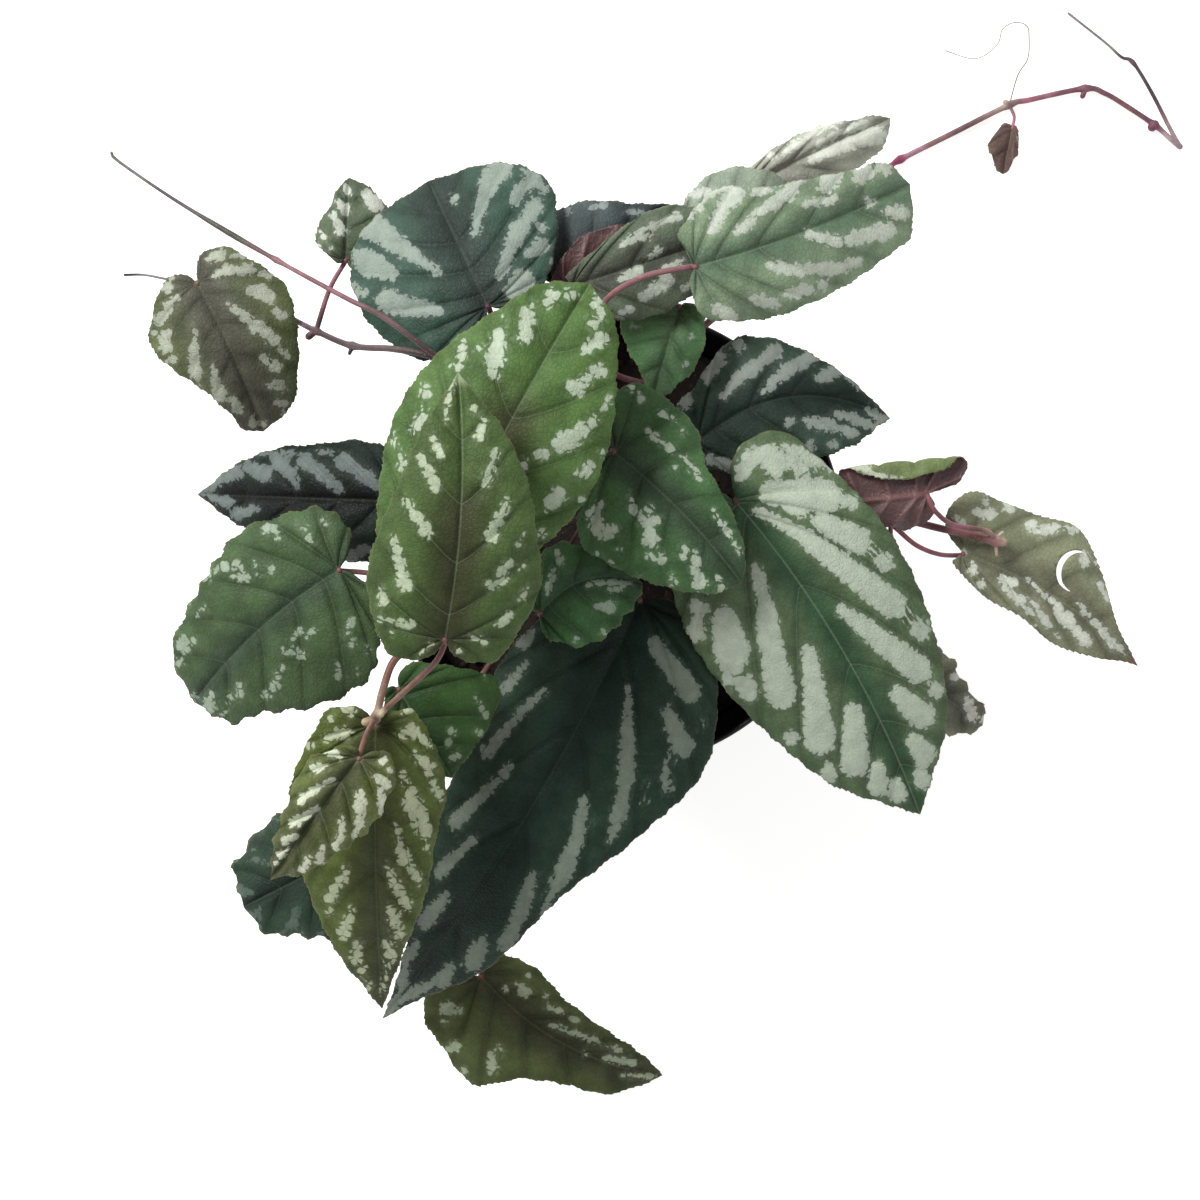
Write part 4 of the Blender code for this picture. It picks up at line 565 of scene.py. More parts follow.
# The colours that the stems and stalks of each vine pass through, at places in plan; how sharply one passes
# into the next; and the distance to a node that stands for no node near
HUES = {
    "vine_upper_left": [
        (-150, 114, "#77716f"), (-134, 103, "#5a5754"), (-116, 92, "#57554c"), (-106, 86, "#72585b"),
        (-100, 83, "#9a7075"), (-85, 74, "#93686d"), (-70, 63, "#7d6061"), (-55, 56, "#574846"),
        (-32, 34, "#463735"), (-90, 62.5, "#5b4a4c"), (-110, 72, "#55403f"), (-79, 58, "#5f5250"),
        (-66, 57, "#5d4f4c"), (-92.3, 60.8, "#4b3339"), (-80, 55.5, "#43353a"), (-84, 76, "#8f6169"),
        (-126, 77, "#7a6e58"), (-140, 79, "#8f898c"), (-148, 79.5, "#3a3d44"), (-50, 15, "#7a4f50"),
        (-37, 60, "#5a4345")],
    "vine_upper_right": [
        (86, 113.8, "#94405f"), (91, 117, "#b98a9c"), (97, 120, "#8d6d6c"), (108, 125, "#7a5c5f"),
        (120, 131, "#72565a"), (126, 132.5, "#a7697c"), (143, 136, "#87606b"), (142.2, 133.4, "#7a4459"),
        (155, 131, "#815a61"), (163.3, 124.2, "#75495a"), (168, 121.5, "#b39aa0"), (171.7, 118.4, "#9d868c"),
        (163, 135, "#4a4046"), (157.4, 144, "#5a4c52"), (149, 150, "#8b8784"), (10, 79, "#8f6568"),
        (121, 124.5, "#b87f8b"), (118.8, 131.8, "#c5b3a4"), (126, 151, "#a3a596"), (109.6, 145, "#a8a894"),
        (42, 79, "#6d4a4a")],
    "vine_right": [
        (32, 2, "#5d4540"), (70, 5.5, "#4c3436"), (100, 2.5, "#573338"), (110, 0, "#73484b"),
        (115.6, -1, "#96686a"), (117.8, 1.4, "#c9b7a2"), (116.2, -5.2, "#bda394"), (103, 3.8, "#96606a"),
        (95, 12, "#8c5760"), (92, -2.5, "#985f69"), (105, -5, "#96606a"), (88, -28, "#6d4a4a")],
    "vine_lower_left": [
        (-20, -16, "#5d4540"), (-46, -26, "#754f4a"), (-66, -40, "#765047"), (-72, -54.7, "#745648"),
        (-68.5, -51, "#765047"), (-73, -58, "#765047"),
        (-75.6, -56.2, "#b09c7e"), (-70.4, -53.6, "#c9bb9e"), (-58, -43, "#7d564f"), (-76, -61, "#7d5a50"),
        (-64, -82, "#7d5552"), (-80, -11, "#7d5a58")],
    "crown": [(-6, 6, "#5d4540"), (-45, -5, "#7d585a"), (-2, 20, "#75555a"), (2, -6, "#7d5552"),
              (-18, 60, "#7d5c60")],
    "vine_front": [(-14, -44, "#5d4540"), (-27, -78, "#6b4c4a"), (-38, -125, "#7d5552")],
}
VINE_SLOTS = {"vine_upper_right": "stem_pink", "vine_lower_left": "stem_pink"}
NODE_BLUSH = "#8a6068"
HUE_SOFT = 0.5
HUE_POWER = 3.5
NO_NODE = 99.0

# The mesh of a stem: its share of the solid's radius, its sides, the step along it, how much and how far
# its nodes, its furled shoot and its ends swell, its rounded ends, how uneven it is, a direction that no
# stem runs in, how far a stalk's end may be from the leaf that it carries, and how deep the stem's foot is
SLIM = 0.74
STEM_SIDES = 14
STEM_STEP = 1.4
NODE_SWELL = 0.55
NODE_REACH = 1.6
SPINDLE_SWELL = 0.6
SPINDLE_REACH = 11.0
END_SWELL = 0.18
END_REACH = 3.5
CAP_ANGLES = (75, 50, 25)
UNEVEN = 0.05
UNEVEN_SIZE = 4.0
UNEVEN_LAYER = 3.0
TUBE_UP = (0.31, 0.23, 0.92)
JOIN_REACH = 4.5
JOIN_DEPTH = 0.25
HOLE_DEPTH = 14.0
GAP = 0.35
FOOT_RISES = (2.0, 6.0)

# The pot's turned shape, as in the part's source but rounder, and the soil, its lumps as (height, size, layer)
FOOT_SLOPE = 1.2
RIM_STEP = 0.8
EDGE = 0.6
POT_STEPS = 128
DRAIN_SIDES = 24
SHARP_ANGLE = 50
SOIL_SPOKES = 120
SOIL_RINGS = 26
SOIL_EDGE = 3.0
SOIL_LUMPS = ((2.0, 11.0, 0.6), (0.9, 4.0, 2.0), (0.45, 1.6, 5.0))

# The chips on the soil: how many, their radii, how far from the wall, how high they lie as a share of their
# radius, how each is stretched along its three axes, how rough they are, and how they are tilted
CHIPS = 420
CHIP_SEED = 5
CHIP_SIZES = (0.8, 2.4)
CHIP_MARGIN = 3
CHIP_RISE = 0.3
CHIP_STRETCH = ((0.7, 1.7), (0.6, 1.0), (0.3, 0.7))
CHIP_ROUGH = 0.5
CHIP_ROUGH_SCALE = 0.8
CHIP_TILTS = ((0.3, 0.9), (0.2, 0.6))

# The paints. Noises are (size in mm, detail). Steps are (low, high, start, end): start where the measure is
# under low, end where it is over high, and smooth between. The measure is a noise, or a distance in mm from
# a vein, the midrib, the margin, the edge of a patch or the stalk. start and end are shares or brightnesses.
FINE = (0.6, 2)
FINE_BUMP = 0.12
NET_SIZE = 1.5
# Painted shade in the sunk lines of the fine net, and painted light on the puffed cells between them
NET_PAINTED_SHADE = (0.0, 0.1, 0.84, 1.03)
NET_GROOVE = (0.0, 0.2)
NET_HEIGHT = 0.6
LUMP = (1.7, 3)
LUMP_DEPTH = 1.8
FINE_DEPTH = 0.9
ROUND_SIZE = 3.3
ROUND_SHAKE = (1.2, 0.9)
ROUNDED = (0.0, 0.2, -1, 0.5)
DEEP_START = 1.0
DEEP_BEFORE = 11
DEEP_AFTER = 6
MOTTLE = (8.0, 3)
MOTTLE_STEPS = (0.3, 0.7, 0.8, 1.2)
STAIN = (5.0, 3)
STAIN_STEPS = (0.5, 0.75, 0, 0.35)
# Painted shade beside the sunk veins, and painted light on the bulging cells between them, as brightnesses
VEIN_PAINTED_SHADE = (0.4, 3.0, 0.84, 1.06)
THREAD_WIDTH = (0.1, 0.26)
THREAD_SHARE = 0.26
THREAD_END = (0.5, 9)
MIDRIB_LINE = (0.12, 0.4)
MIDRIB_SHARE = 0.36
SILVER_DEPTH = (0.0, 1.6, 0.86, 1.05)
SILVER_GRAIN = (0.25, 0.75, 0.93, 1.06)
SILVER_CLOUD = (4.0, 2)
SILVER_CLOUD_STEPS = (0.35, 0.65, 0.92, 1.05)
HALO = (-1.4, 0.1, 0, 0.14)
SILVER_EDGE = (-0.08, 0.22, 0, 0.96)
TOOTH_TINGE = (0.05, 0.4, 0.4, 0)
STALK_TINGE = (0.5, 1.8, 0.4, 0)
TIP_FROM = 5
TIP_TO = 1.5
LEAF_ROUGH = (-0.5, 0.5, 0.48, 0.42)

UNDER_FINE = (0.9, 2)
UNDER_CLOUD = (7.0, 3)
UNDER_NET_SIZE = 1.9
UNDER_NET = (0.0, 0.1, 0.2, 0)
UNDER_RIB = (0.3, 0.8, 0.4, 0)
UNDER_MIDRIB = (0.6, 1.3, 0.6, 0)
UNDER_ROUGH = (0.3, 0.7, 0.46, 0.56)

BARK_FINE = (0.6, 3)
BARK_CLOUD = (3.0, 3)
BARK_CLOUD_STEPS = (0.25, 0.75, 0.78, 1.2)
BARK_ROUGH = (0.3, 0.7, 0.36, 0.52)
SPECK_TINT = "#d0a9a4"
SPECK_SIZE = 1.5
SPECK_STEPS = (0.1, 0.2, 0.25, 0)
NODE_STEPS = (0.6, 2.2, 0.3, 0)

PLASTIC = "#0c0d0f"
DUST = "#2c2a27"
DUST_CLOUD = (14.0, 4)
DUST_STEPS = (0.52, 0.75, 0, 0.12)
GRAIN = (0.5, 3)
GRAIN_STEPS = (0.2, 0.8, 0.85, 1.15)
GRAIN_BUMP = 0.05
GLOSS_CLOUD = (5.0, 3)
GLOSS_STEPS = (0.3, 0.7, 0.32, 0.5)

CRUMB = (1.3, 4)
CRUMB_STEPS = (0.3, 0.7)
CRUMB_BUMP = 0.5
CRUMB_ROUGH = (0.3, 0.7, 0.85, 1.0)
GRIT = "#5f5442"
GRIT_SIZE = 2.6
GRIT_STEPS = (0.08, 0.16, 0.5, 0)

# The stage, in metres except for the floor's drop: each light's name, place, size and power, and where they
# aim
FLOOR_REACH = 3.0
FLOOR_DROP = 0.2
FLOOR_WHITE = "#f4f4f2"
FLOOR_GLOW = 0.68
SKY = (0.98, 0.99, 1.0, 1)
SKY_STRENGTH = 0.33
LIGHTS = (("key", (-0.9, 0.8, 1.3), 0.6, 26), ("fill", (1.1, -0.5, 1.3), 1.2, 4))
LIGHT_GOAL = (0, 0, 0.1)


def linear(code):
    """A colour written as sRGB, such as #3f5f43, as the linear numbers that a shader takes."""
    parts = [int(code[i:i + 2], 16) / 255 for i in (1, 3, 5)]
    return (*(c / 12.92 if c < 0.04045 else ((c + 0.055) / 1.055) ** 2.4 for c in parts), 1.0)


def sight(x, y, z):
    """Places in plan and their heights, in millimetres, as points in metres."""
    share = (SIGHT_HEIGHT - z) / (SIGHT_HEIGHT - POT_HEIGHT)
    return np.stack([SIGHT_X + (x - SIGHT_X) * share, SIGHT_Y + (y - SIGHT_Y) * share, z + 0 * x], -1) * MM


def seen(places):
    return [tuple(sight(*map(float, place)) / MM) for place in places]


def in_plan(x, y):
    """A place in the photo, in pixels, as a place in plan in millimetres."""
    return np.array([PIXEL * (x - PHOTO_X), PIXEL * (PHOTO_Y - y)])


def hump(share):
    """1 in the middle and 0 at both ends."""
    return 4 * share * (1 - share)


def bell(away, reach):
    """1 at no distance, fading to almost nothing at twice this reach."""
    return np.exp(-(away / reach) ** 2)


def smooth_curve(points, step):
    """Points at most step apart on a smooth curve through all of these, each with its place among them."""
    points = np.asarray(points, float)
    ends = np.vstack([2 * points[0] - points[1], points, 2 * points[-1] - points[-2]])
    found, places = [], []
    for i in range(1, len(ends) - 2):
        a, b, c, d = ends[i - 1:i + 3]
        pieces = max(1, math.ceil(np.linalg.norm(c - b) / step))
        t = (np.arange(pieces) / pieces)[:, None]
        bend = (2 * a - 5 * b + 4 * c - d) * t ** 2 + (3 * b - a - 3 * c + d) * t ** 3
        found.append(0.5 * (2 * b + (c - a) * t + bend))
        places.append(i - 1 + t[:, 0])
    return np.vstack(found + [points[-1:]]), np.append(np.concatenate(places), len(points) - 1.0)


def reach_along(points):
    """How far each point is along the line through them."""
    return np.concatenate([[0.0], np.cumsum(np.linalg.norm(np.diff(points, axis=0), axis=1))])


def bump_field(points, size, layer):
    """A soft noise from -1 to 1 at these points, in lumps about this many millimetres across."""
    shift = Vector((layer, layer, layer))
    return np.array([noise.noise(Vector((*point, 0)[:3]) / size + shift) for point in points])


class Blade:
    """The middle surface of one leaf: along runs from stalk to tip, out from midrib to margin."""

    def __init__(self, base, tip, left, right, bow=0, arch=0, edge=(0, 0), blunt=0.36, wave=0.8,
                 fold=None, upturned=False):
        self.base = np.array(base, float)
        self.rise = tip[2] - base[2]
        heading = np.array([tip[0] - base[0], tip[1] - base[1]], float)
        self.length = float(np.linalg.norm(heading))
        self.heading = heading / self.length
        self.widths = {1: left, -1: right}
        self.edge = {1: edge[0], -1: edge[1]}
        self.bow, self.arch, self.blunt, self.wave, self.fold = bow, arch, blunt, wave, fold
        self.upturned = upturned

    def margin(self, side):
        """The outline of one side as a fine line from the stalk round the lobe to the tip."""
        back, out, *sides = self.widths[side]
        points = [(0, 0)] + [(-reach * back, width * out) for reach, width in LOBE]
        points += [(share * self.length, width) for share, width in zip(STATIONS, sides)]
        points += [(TIP_STATION * self.length, self.blunt * sides[-1]), (self.length, 0)]
        return smooth_curve(points, MARGIN_STEP)[0]

    def height(self, share, out, side):
        q = out / max(self.widths[side][1:])
        ripple = self.wave * np.sin(2 * math.pi * (WAVES * share + WAVE_SHIFT * self.base[0])) * q * q
        return (self.base[2] + self.rise * share + self.arch * hump(share) + self.edge[side] * q * q
                + ripple + KEEL * hump(np.minimum(q, 1)))

    def turned(self, out, side):
        """Where places on the folded side end up: how far out, how far above the blade, and turned how far."""
        if self.fold is None or side > 0:
            return out, 0 * out, 0 * out
        crease, turn = self.fold[0], math.radians(self.fold[1])
        beyond = np.maximum(out - crease, 0)
        angle = np.minimum(turn, beyond / FOLD_RADIUS)
        rest = np.maximum(0, beyond - turn * FOLD_RADIUS)
        bent = crease + FOLD_RADIUS * np.sin(angle) + rest * math.cos(turn)
        lift = FOLD_RADIUS * (1 - np.cos(angle)) + rest * math.sin(turn)
        return np.where(beyond > 0, bent, out), np.where(beyond > 0, lift, 0), angle

    def plan(self, along, out, side, rise=0.0):
        """Places on the blade as they appear in plan, raised off it by rise, and their heights."""
        share = along / self.length
        bent, lift, angle = self.turned(out, side)
        left = side * (bent - rise * np.sin(angle)) + self.bow * hump(np.clip(share, 0, 1))
        x = self.base[0] + self.heading[0] * along - self.heading[1] * left
        y = self.base[1] + self.heading[1] * along + self.heading[0] * left
        return x, y, self.height(share, np.abs(out), side) + lift + rise * np.cos(angle)

    def nearest(self, spot, along, out, side):
        """Which of these places on the blade is the nearest to a place in the photo."""
        x, y, _ = self.plan(along, out, side)
        goal = in_plan(*spot)
        return int(np.argmin(np.hypot(x - goal[0], y - goal[1])))


class Half:
    """One side of a blade as a grid of columns from midrib to margin, with its toothed margin.

    u is a place across the cells that the side veins make and v one from midrib to margin, where it is 1.
    """

    def __init__(self, blade, side, look, draw, veins=()):
        cells = len(veins) + 1 if veins else look["cells"]
        self.side = side
        self.line = blade.margin(side)
        self.arc = reach_along(self.line)
        u = np.append((np.arange(cells)[:, None] + np.array(CELL_COLUMNS)).ravel(), cells)
        count = len(u)
        fine = np.interp(np.arange((count - 1) * MARGIN_POINTS + 1) / MARGIN_POINTS, np.arange(count), u)
        whole = np.arange(cells + 1.0)
        knots = whole.copy()
        knots[1:-1] += [draw.uniform(-VEIN_SHAKE, VEIN_SHAKE) for _ in range(cells - 1)]
        starts = np.maximum(0, (u / cells - FAN_SHARE) / (1 - FAN_SHARE)) ** VEIN_LAG
        if veins:
            rib = np.linspace(0, 1, RIB_STEPS)
            leaves_rib = [rib[blade.nearest(vein[0], rib * blade.length, 0 * rib, side)] for vein in veins]
            starts = np.interp(u, whole, [0, *leaves_rib, 1])
            met = [blade.nearest(vein[1 if side > 0 else 2], *self.line.T, side) for vein in veins]
            knots[1:-1] = cells * self.arc[met] / self.arc[-1]
        ends = self.on_margin(np.interp(u, whole, knots) / cells)
        starts = blade.length * starts
        v = np.linspace(0, LAST_ROW, BLADE_ROWS)
        along = starts[:, None] + (ends[:, :1] - starts[:, None]) * v ** VEIN_SWEEP
        out = ends[:, 1:] * v
        rim_share = np.interp(fine, whole, knots) / cells
        rim = self.toothed(self.on_margin(rim_share), rim_share * self.arc[-1], look["scallop"], draw)
        self.columns, self.rows, self.rim_count = count, len(v), len(fine)
        self.along = np.concatenate([along.ravel(), rim[:, 0]])
        self.out = np.maximum(np.concatenate([out.ravel(), rim[:, 1]]), 0)
        self.u = np.concatenate([np.repeat(u, len(v)), fine])
        self.v = np.concatenate([np.tile(v, count), np.ones(len(fine))])
        widths = np.hypot(np.gradient(along, u, axis=0), np.gradient(out, u, axis=0))
        self.cell = np.concatenate([widths.ravel(), np.interp(fine, u, widths[:, -1])])
        rays = np.hypot(np.diff(along, axis=1), np.diff(out, axis=1)).cumsum(axis=1)[:, -1] / LAST_ROW
        self.ray = np.concatenate([np.repeat(rays, len(v)), np.interp(fine, u, rays)])
        self.edge = (1 - self.v) * self.ray
        self.vein = np.abs(self.u - np.round(self.u)) * self.cell

    def on_margin(self, share):
        goal = share * self.arc[-1]
        return np.stack([np.interp(goal, self.arc, self.line[:, k]) for k in (0, 1)], -1)

    def toothed(self, rim, arc, scallop, draw):
        """The margin with waves and with teeth that lean towards the tip, both fading out at its ends."""
        def drift(size, length):
            return size * np.sin(arc / length + draw.uniform(0, 6))

        def faded(first, last):
            return np.clip(arc / first, 0, 1) * np.clip((self.arc[-1] - arc) / last, 0, 1)

        run = np.gradient(rim, axis=0)
        run /= np.maximum(np.linalg.norm(run, axis=1), 1e-9)[:, None]
        phase = arc / TOOTH_STEP + drift(*TOOTH_DRIFT)
        size = TOOTH * (TOOTH_MEAN + drift(*TOOTH_CHANGE)) * faded(*TOOTH_FADE)
        wave = np.sin(2 * math.pi * arc / SCALLOP_STEP + drift(*SCALLOP_DRIFT))
        push = size * ((phase % 1) ** TOOTH_LEAN - TOOTH_SUNK) + scallop * wave * faded(*SCALLOP_FADE)
        return rim + np.stack([-run[:, 1], run[:, 0]], -1) * push[:, None]

    def faces(self):
        """Quads over the grid and a fan of triangles at each column of the margin, by number."""
        number = np.arange(self.columns * self.rows).reshape(self.columns, self.rows)
        a, b, c, d = number[:-1, :-1], number[1:, :-1], number[1:, 1:], number[:-1, 1:]
        found = np.stack([a, b, c, d], -1).reshape(-1, 4).tolist()
        for i in range(self.columns - 1):
            first, second = int(number[i, -1]), int(number[i + 1, -1])
            r = [number.size + i * MARGIN_POINTS + k for k in range(MARGIN_POINTS + 1)]
            found += [[first, second, r[2]], [first, r[1], r[0]], [first, r[2], r[1]]]
            found += [[second, r[3], r[2]], [second, r[4], r[3]]]
        return found


def seen_patches(name, x, y):
    """How far these places in plan are inside a patch that the photo shows: under 0 outside it."""
    best = np.full(len(x), OUTSIDE)
    for *ends, width in PATCHES[name]:
        start = in_plan(*ends[:2])
        run = in_plan(*ends[-2:]) - start
        away = np.stack([x, y], -1) - start
        share = np.clip(away @ run / max(run @ run, 0.01), 0, 1)
        radius = 0.5 * PIXEL * width * (INNER_WIDTH + (1 - INNER_WIDTH) * share if run.any() else 1)
        best = np.maximum(best, radius - np.linalg.norm(away - share[:, None] * run, axis=1))
    return best


def ruled_patches(half, look, draw):
    """The same for a leaf without PATCHES: a patch in most cells, and small ones near the margin."""
    marks = []
    for cell in range(look["cells"]):
        middle = cell + 0.5 + draw.uniform(-0.05, 0.05)
        low = ROW_START + draw.uniform(-0.06, 0.08)
        high = ROW_END + draw.uniform(-0.05, 0.03)
        width = look["width"] * draw.uniform(0.8, 1.15)
        if draw.random() < look["keep"]:
            marks.append((middle, low, high, width))
        for place in SMALL_PLACES:
            small = draw.uniform(0.12, 0.3)
            spot = draw.uniform(0.9, 0.95)
            if draw.random() < look["keep"]:
                marks.append((cell + place + draw.uniform(-0.06, 0.06), spot, spot + 0.01, small))
    best = np.full(len(half.u), OUTSIDE)
    for place, low, high, width in marks:
        across = np.abs(half.u - place) * half.cell
        grown = np.clip((half.v - low) / max(high - low, 0.01), 0, 1)
        radius = 0.5 * width * half.cell * (ROW_INNER_WIDTH + (1 - ROW_INNER_WIDTH) * grown)
        beyond = np.maximum(np.maximum(low - half.v, half.v - high), 0) * half.ray
        best = np.maximum(best, radius - np.hypot(across, beyond))
    return best


def relief(half, look, seed):
    """How far each place stands off the blade: sunk veins, bulging cells, puckers and a wavy margin."""
    groove = -GROOVE_DEPTH * look["groove"] * bell(half.vein, VEIN_GROOVE) * (1 - 0.5 * half.v)
    midrib = -GROOVE_DEPTH * bell(half.out, MIDRIB_GROOVE)
    swell = look["quilt"] * np.sin(math.pi * (half.u % 1)) * np.sin(math.pi * half.v).clip(0) ** SWELL_POWER
    swell *= np.clip(half.cell / SWELL_CELL, 0, SWELL_MOST)
    places = np.stack([half.along, half.side * half.out], -1)
    pucker = look["pucker"] * bump_field(places, PUCKER_SIZE, seed) * half.v ** PUCKER_POWER
    slow = SLOW_HEIGHT * bump_field(places, SLOW_SIZE, seed + 7) * half.v ** 2
    return midrib + (1 - bell(half.out, MIDRIB_CLEAR)) * (groove + swell + pucker + slow)


def linked(obj):
    bpy.context.scene.collection.objects.link(obj)
    return obj


def mesh_object(name, points, faces):
    """A smooth mesh object of these points, in metres."""
    mesh = bpy.data.meshes.new(name)
    mesh.from_pydata(points.tolist(), [], faces)
    mesh.shade_smooth()
    return linked(bpy.data.objects.new(name, mesh))


def object_of(name, form):
    mesh = bpy.data.meshes.new(name)
    form.to_mesh(mesh)
    form.free()
    mesh.shade_smooth()
    return linked(bpy.data.objects.new(name, mesh))


def add_layer(mesh, title, kind, domain, field, values):
    """Keeps numbers on the points or face corners of a mesh, for its paint."""
    layer = mesh.attributes.new(title, kind, domain)
    layer.data.foreach_set(field, np.asarray(values, np.float32).ravel())


class Shell:
    """Points, faces and the numbers at their corners, gathered for one mesh."""

    def __init__(self):
        self.points, self.faces, self.slots, self.flat = [], [], [], []
        self.numbers = {"places": [], "veins": []}
        self.count = 0

    def add(self, points, flat, **numbers):
        """More points, and the number of the first of them."""
        self.points.append(points)
        self.flat.append(flat)
        for title, values in numbers.items():
            self.numbers[title].append(values)
        self.count += len(points)
        return self.count - len(points)

    def add_faces(self, faces, first, flipped, slot):
        for face in faces:
            corners = [first + k for k in face]
            self.faces.append(corners[::-1] if flipped else corners)
            self.slots.append(slot)

    def as_object(self, name):
        """A mesh object, with coincident points made one and faces that vanish left out."""
        points = np.vstack(self.points)
        _, first, joined = np.unique(np.round(points / (SAME_POINT * MM)).astype(np.int64), axis=0,
                                     return_index=True, return_inverse=True)
        joined = joined.reshape(-1).tolist()
        kept, corners, slots = [], [], []
        for face, slot in zip(self.faces, self.slots):
            whole = {}
            for corner in face:
                whole.setdefault(joined[corner], corner)
            if len(whole) > 2:
                kept.append(list(whole))
                corners += whole.values()
                slots.append(slot)
        obj = mesh_object(name, points[first], kept)
        obj.data.polygons.foreach_set("material_index", slots)
        for title, values in self.numbers.items():
            add_layer(obj.data, title, "FLOAT_VECTOR", "CORNER", "vector", np.vstack(values)[corners])
        flat = np.vstack(self.flat)[corners]
        obj.data.uv_layers.new(name="OFBake").data.foreach_set("uv", flat.ravel().astype(np.float32))
        return obj


def look_of(name):
    return {**PLAIN_LOOK, **LOOKS[name]}


def leaf_object(name):
    """One leaf as a closed thin shell, its upper face in the first material and its underside in the second."""
    look = look_of(name)
    blade = Blade(**LEAVES[name])
    seed = int(name[-2:])
    draw = random.Random(seed)
    shell = Shell()
    wide = max(*blade.widths[1][1:], *blade.widths[-1][1:]) + MAP_SPARE
    back = max(blade.widths[1][0], blade.widths[-1][0]) + MAP_SPARE
    seams = {}
    for side in (1, -1):
        half = Half(blade, side, look, draw, VEINS.get(name, ()))
        if name in PATCHES:
            patch = seen_patches(name, *blade.plan(half.along, half.out, side)[:2])
        else:
            patch = ruled_patches(half, look, draw)
        stand = relief(half, look, seed) * (-1 if blade.upturned else 1)
        thick = HALF_BLADE * (1 - RIM_TAPER * np.exp(-half.edge / RIM_TAPER_REACH))
        ribs = MIDRIB_RIDGE * bell(half.out, MIDRIB_WIDTH)
        ribs += VEIN_RIDGE * bell(half.vein, VEIN_WIDTH) * (1 - half.v) * (1 - bell(half.out, 1))
        inner = half.columns * half.rows
        numbers = dict(
            places=np.stack([patch, half.out, half.edge], -1),
            veins=np.stack([half.vein, half.along, np.hypot(half.along, half.out)], -1))
        across = 0.5 + 0.5 * side * half.out / wide
        up_map = MAP_EDGE + (1 - 2 * MAP_EDGE) * (half.along + back) / (blade.length + back + 1)
        rims = {}
        for sheet in (1, -1):
            under = (sheet < 0) != blade.upturned
            points = sight(*blade.plan(half.along, half.out, side, stand + sheet * (thick + ribs * under)))
            grid = points[:inner].reshape(half.columns, half.rows, 3)
            if side < 0:
                grid[:, 0] = seams[sheet]
            seams[sheet] = grid[:, 0].copy()
            grid[0], grid[-1] = grid[0, 0], grid[-1, 0]
            points[inner], points[-1] = grid[0, 0], grid[-1, 0]
            flat = np.stack([MAP_EDGE + MAP_WIDTH * across + (0.5 if sheet < 0 else 0), up_map], -1)
            first = shell.add(points, flat, **numbers)
            shell.add_faces(half.faces(), first, side * sheet < 0, int(under))
            rims[sheet] = (points[inner:], flat[inner:])
        ends = {key: values[inner:] for key, values in numbers.items()}
        top = shell.add(*rims[1], **ends)
        bottom = shell.add(rims[-1][0], rims[1][1] + (MAP_RIM * side, 0), **ends)
        strips = [[k, k + 1, bottom - top + k + 1, bottom - top + k] for k in range(half.rim_count - 1)]
        shell.add_faces(strips, top, side < 0, int(blade.upturned))
    return shell.as_object(name + "_blade")


def tear_cutter():
    """A thin crescent that stands upright through the torn leaf."""
    form = bmesh.new()
    middle = Vector(sight(*TEAR_PLACE))
    outer, inner = [], []
    for k in range(TEAR_STEPS + 1):
        share = k / TEAR_STEPS
        angle = math.radians(TEAR_FROM + (TEAR_TO - TEAR_FROM) * share)
        half = TEAR_TIP + 0.5 * TEAR_WIDTH * math.sin(math.pi * share)
        for row, radius in ((outer, TEAR_RADIUS + half), (inner, TEAR_RADIUS - half)):
            offset = Vector((radius * math.cos(angle), radius * math.sin(angle), -TEAR_REACH))
            row.append(form.verts.new(middle + offset * MM))
    flat = form.faces.new(outer + inner[::-1])
    raised = bmesh.ops.extrude_face_region(form, geom=[flat])["geom"]
    lifted = [item for item in raised if isinstance(item, bmesh.types.BMVert)]
    bmesh.ops.translate(form, verts=lifted, vec=Vector((0, 0, 2 * TEAR_REACH)) * MM)
    bmesh.ops.recalc_face_normals(form, faces=form.faces)
    if form.calc_volume(signed=True) < 0:
        bmesh.ops.reverse_faces(form, faces=form.faces)
    cutter = object_of("tear_cutter", form)
    for title, value in TEAR_NUMBERS.items():
        add_layer(cutter.data, title, "FLOAT_VECTOR", "CORNER", "vector", value * len(cutter.data.loops))
    return cutter


def combine(obj, others, operation):
    """Joins other closed meshes into this one, or cuts them out of it, and removes them."""
    helpers = bpy.data.collections.new("helpers")
    bpy.context.scene.collection.children.link(helpers)
    for other in others:
        bpy.context.scene.collection.objects.unlink(other)
        helpers.objects.link(other)
    change = obj.modifiers.new("Join", "BOOLEAN")
    change.operation = operation
    change.operand_type = "COLLECTION"
    change.collection = helpers
    bpy.context.view_layer.update()
    mesh = bpy.data.meshes.new_from_object(obj.evaluated_get(bpy.context.evaluated_depsgraph_get()))
    obj.modifiers.clear()
    obj.data = mesh
    for other in others:
        bpy.data.objects.remove(other)
    bpy.data.collections.remove(helpers)


def wall_faces(rows, columns):
    """Quads over rows of points that each close on themselves, and a fan to a pole at each end."""
    found = []
    for i in range(rows - 1):
        for k in range(columns):
            after = (k + 1) % columns
            found.append((i * columns + k, i * columns + after, (i + 1) * columns + after,
                          (i + 1) * columns + k))
    low, last = rows * columns, (rows - 1) * columns
    for k in range(columns):
        after = (k + 1) % columns
        found += [(low, after, k), (low + 1, last + k, last + after)]
    return found


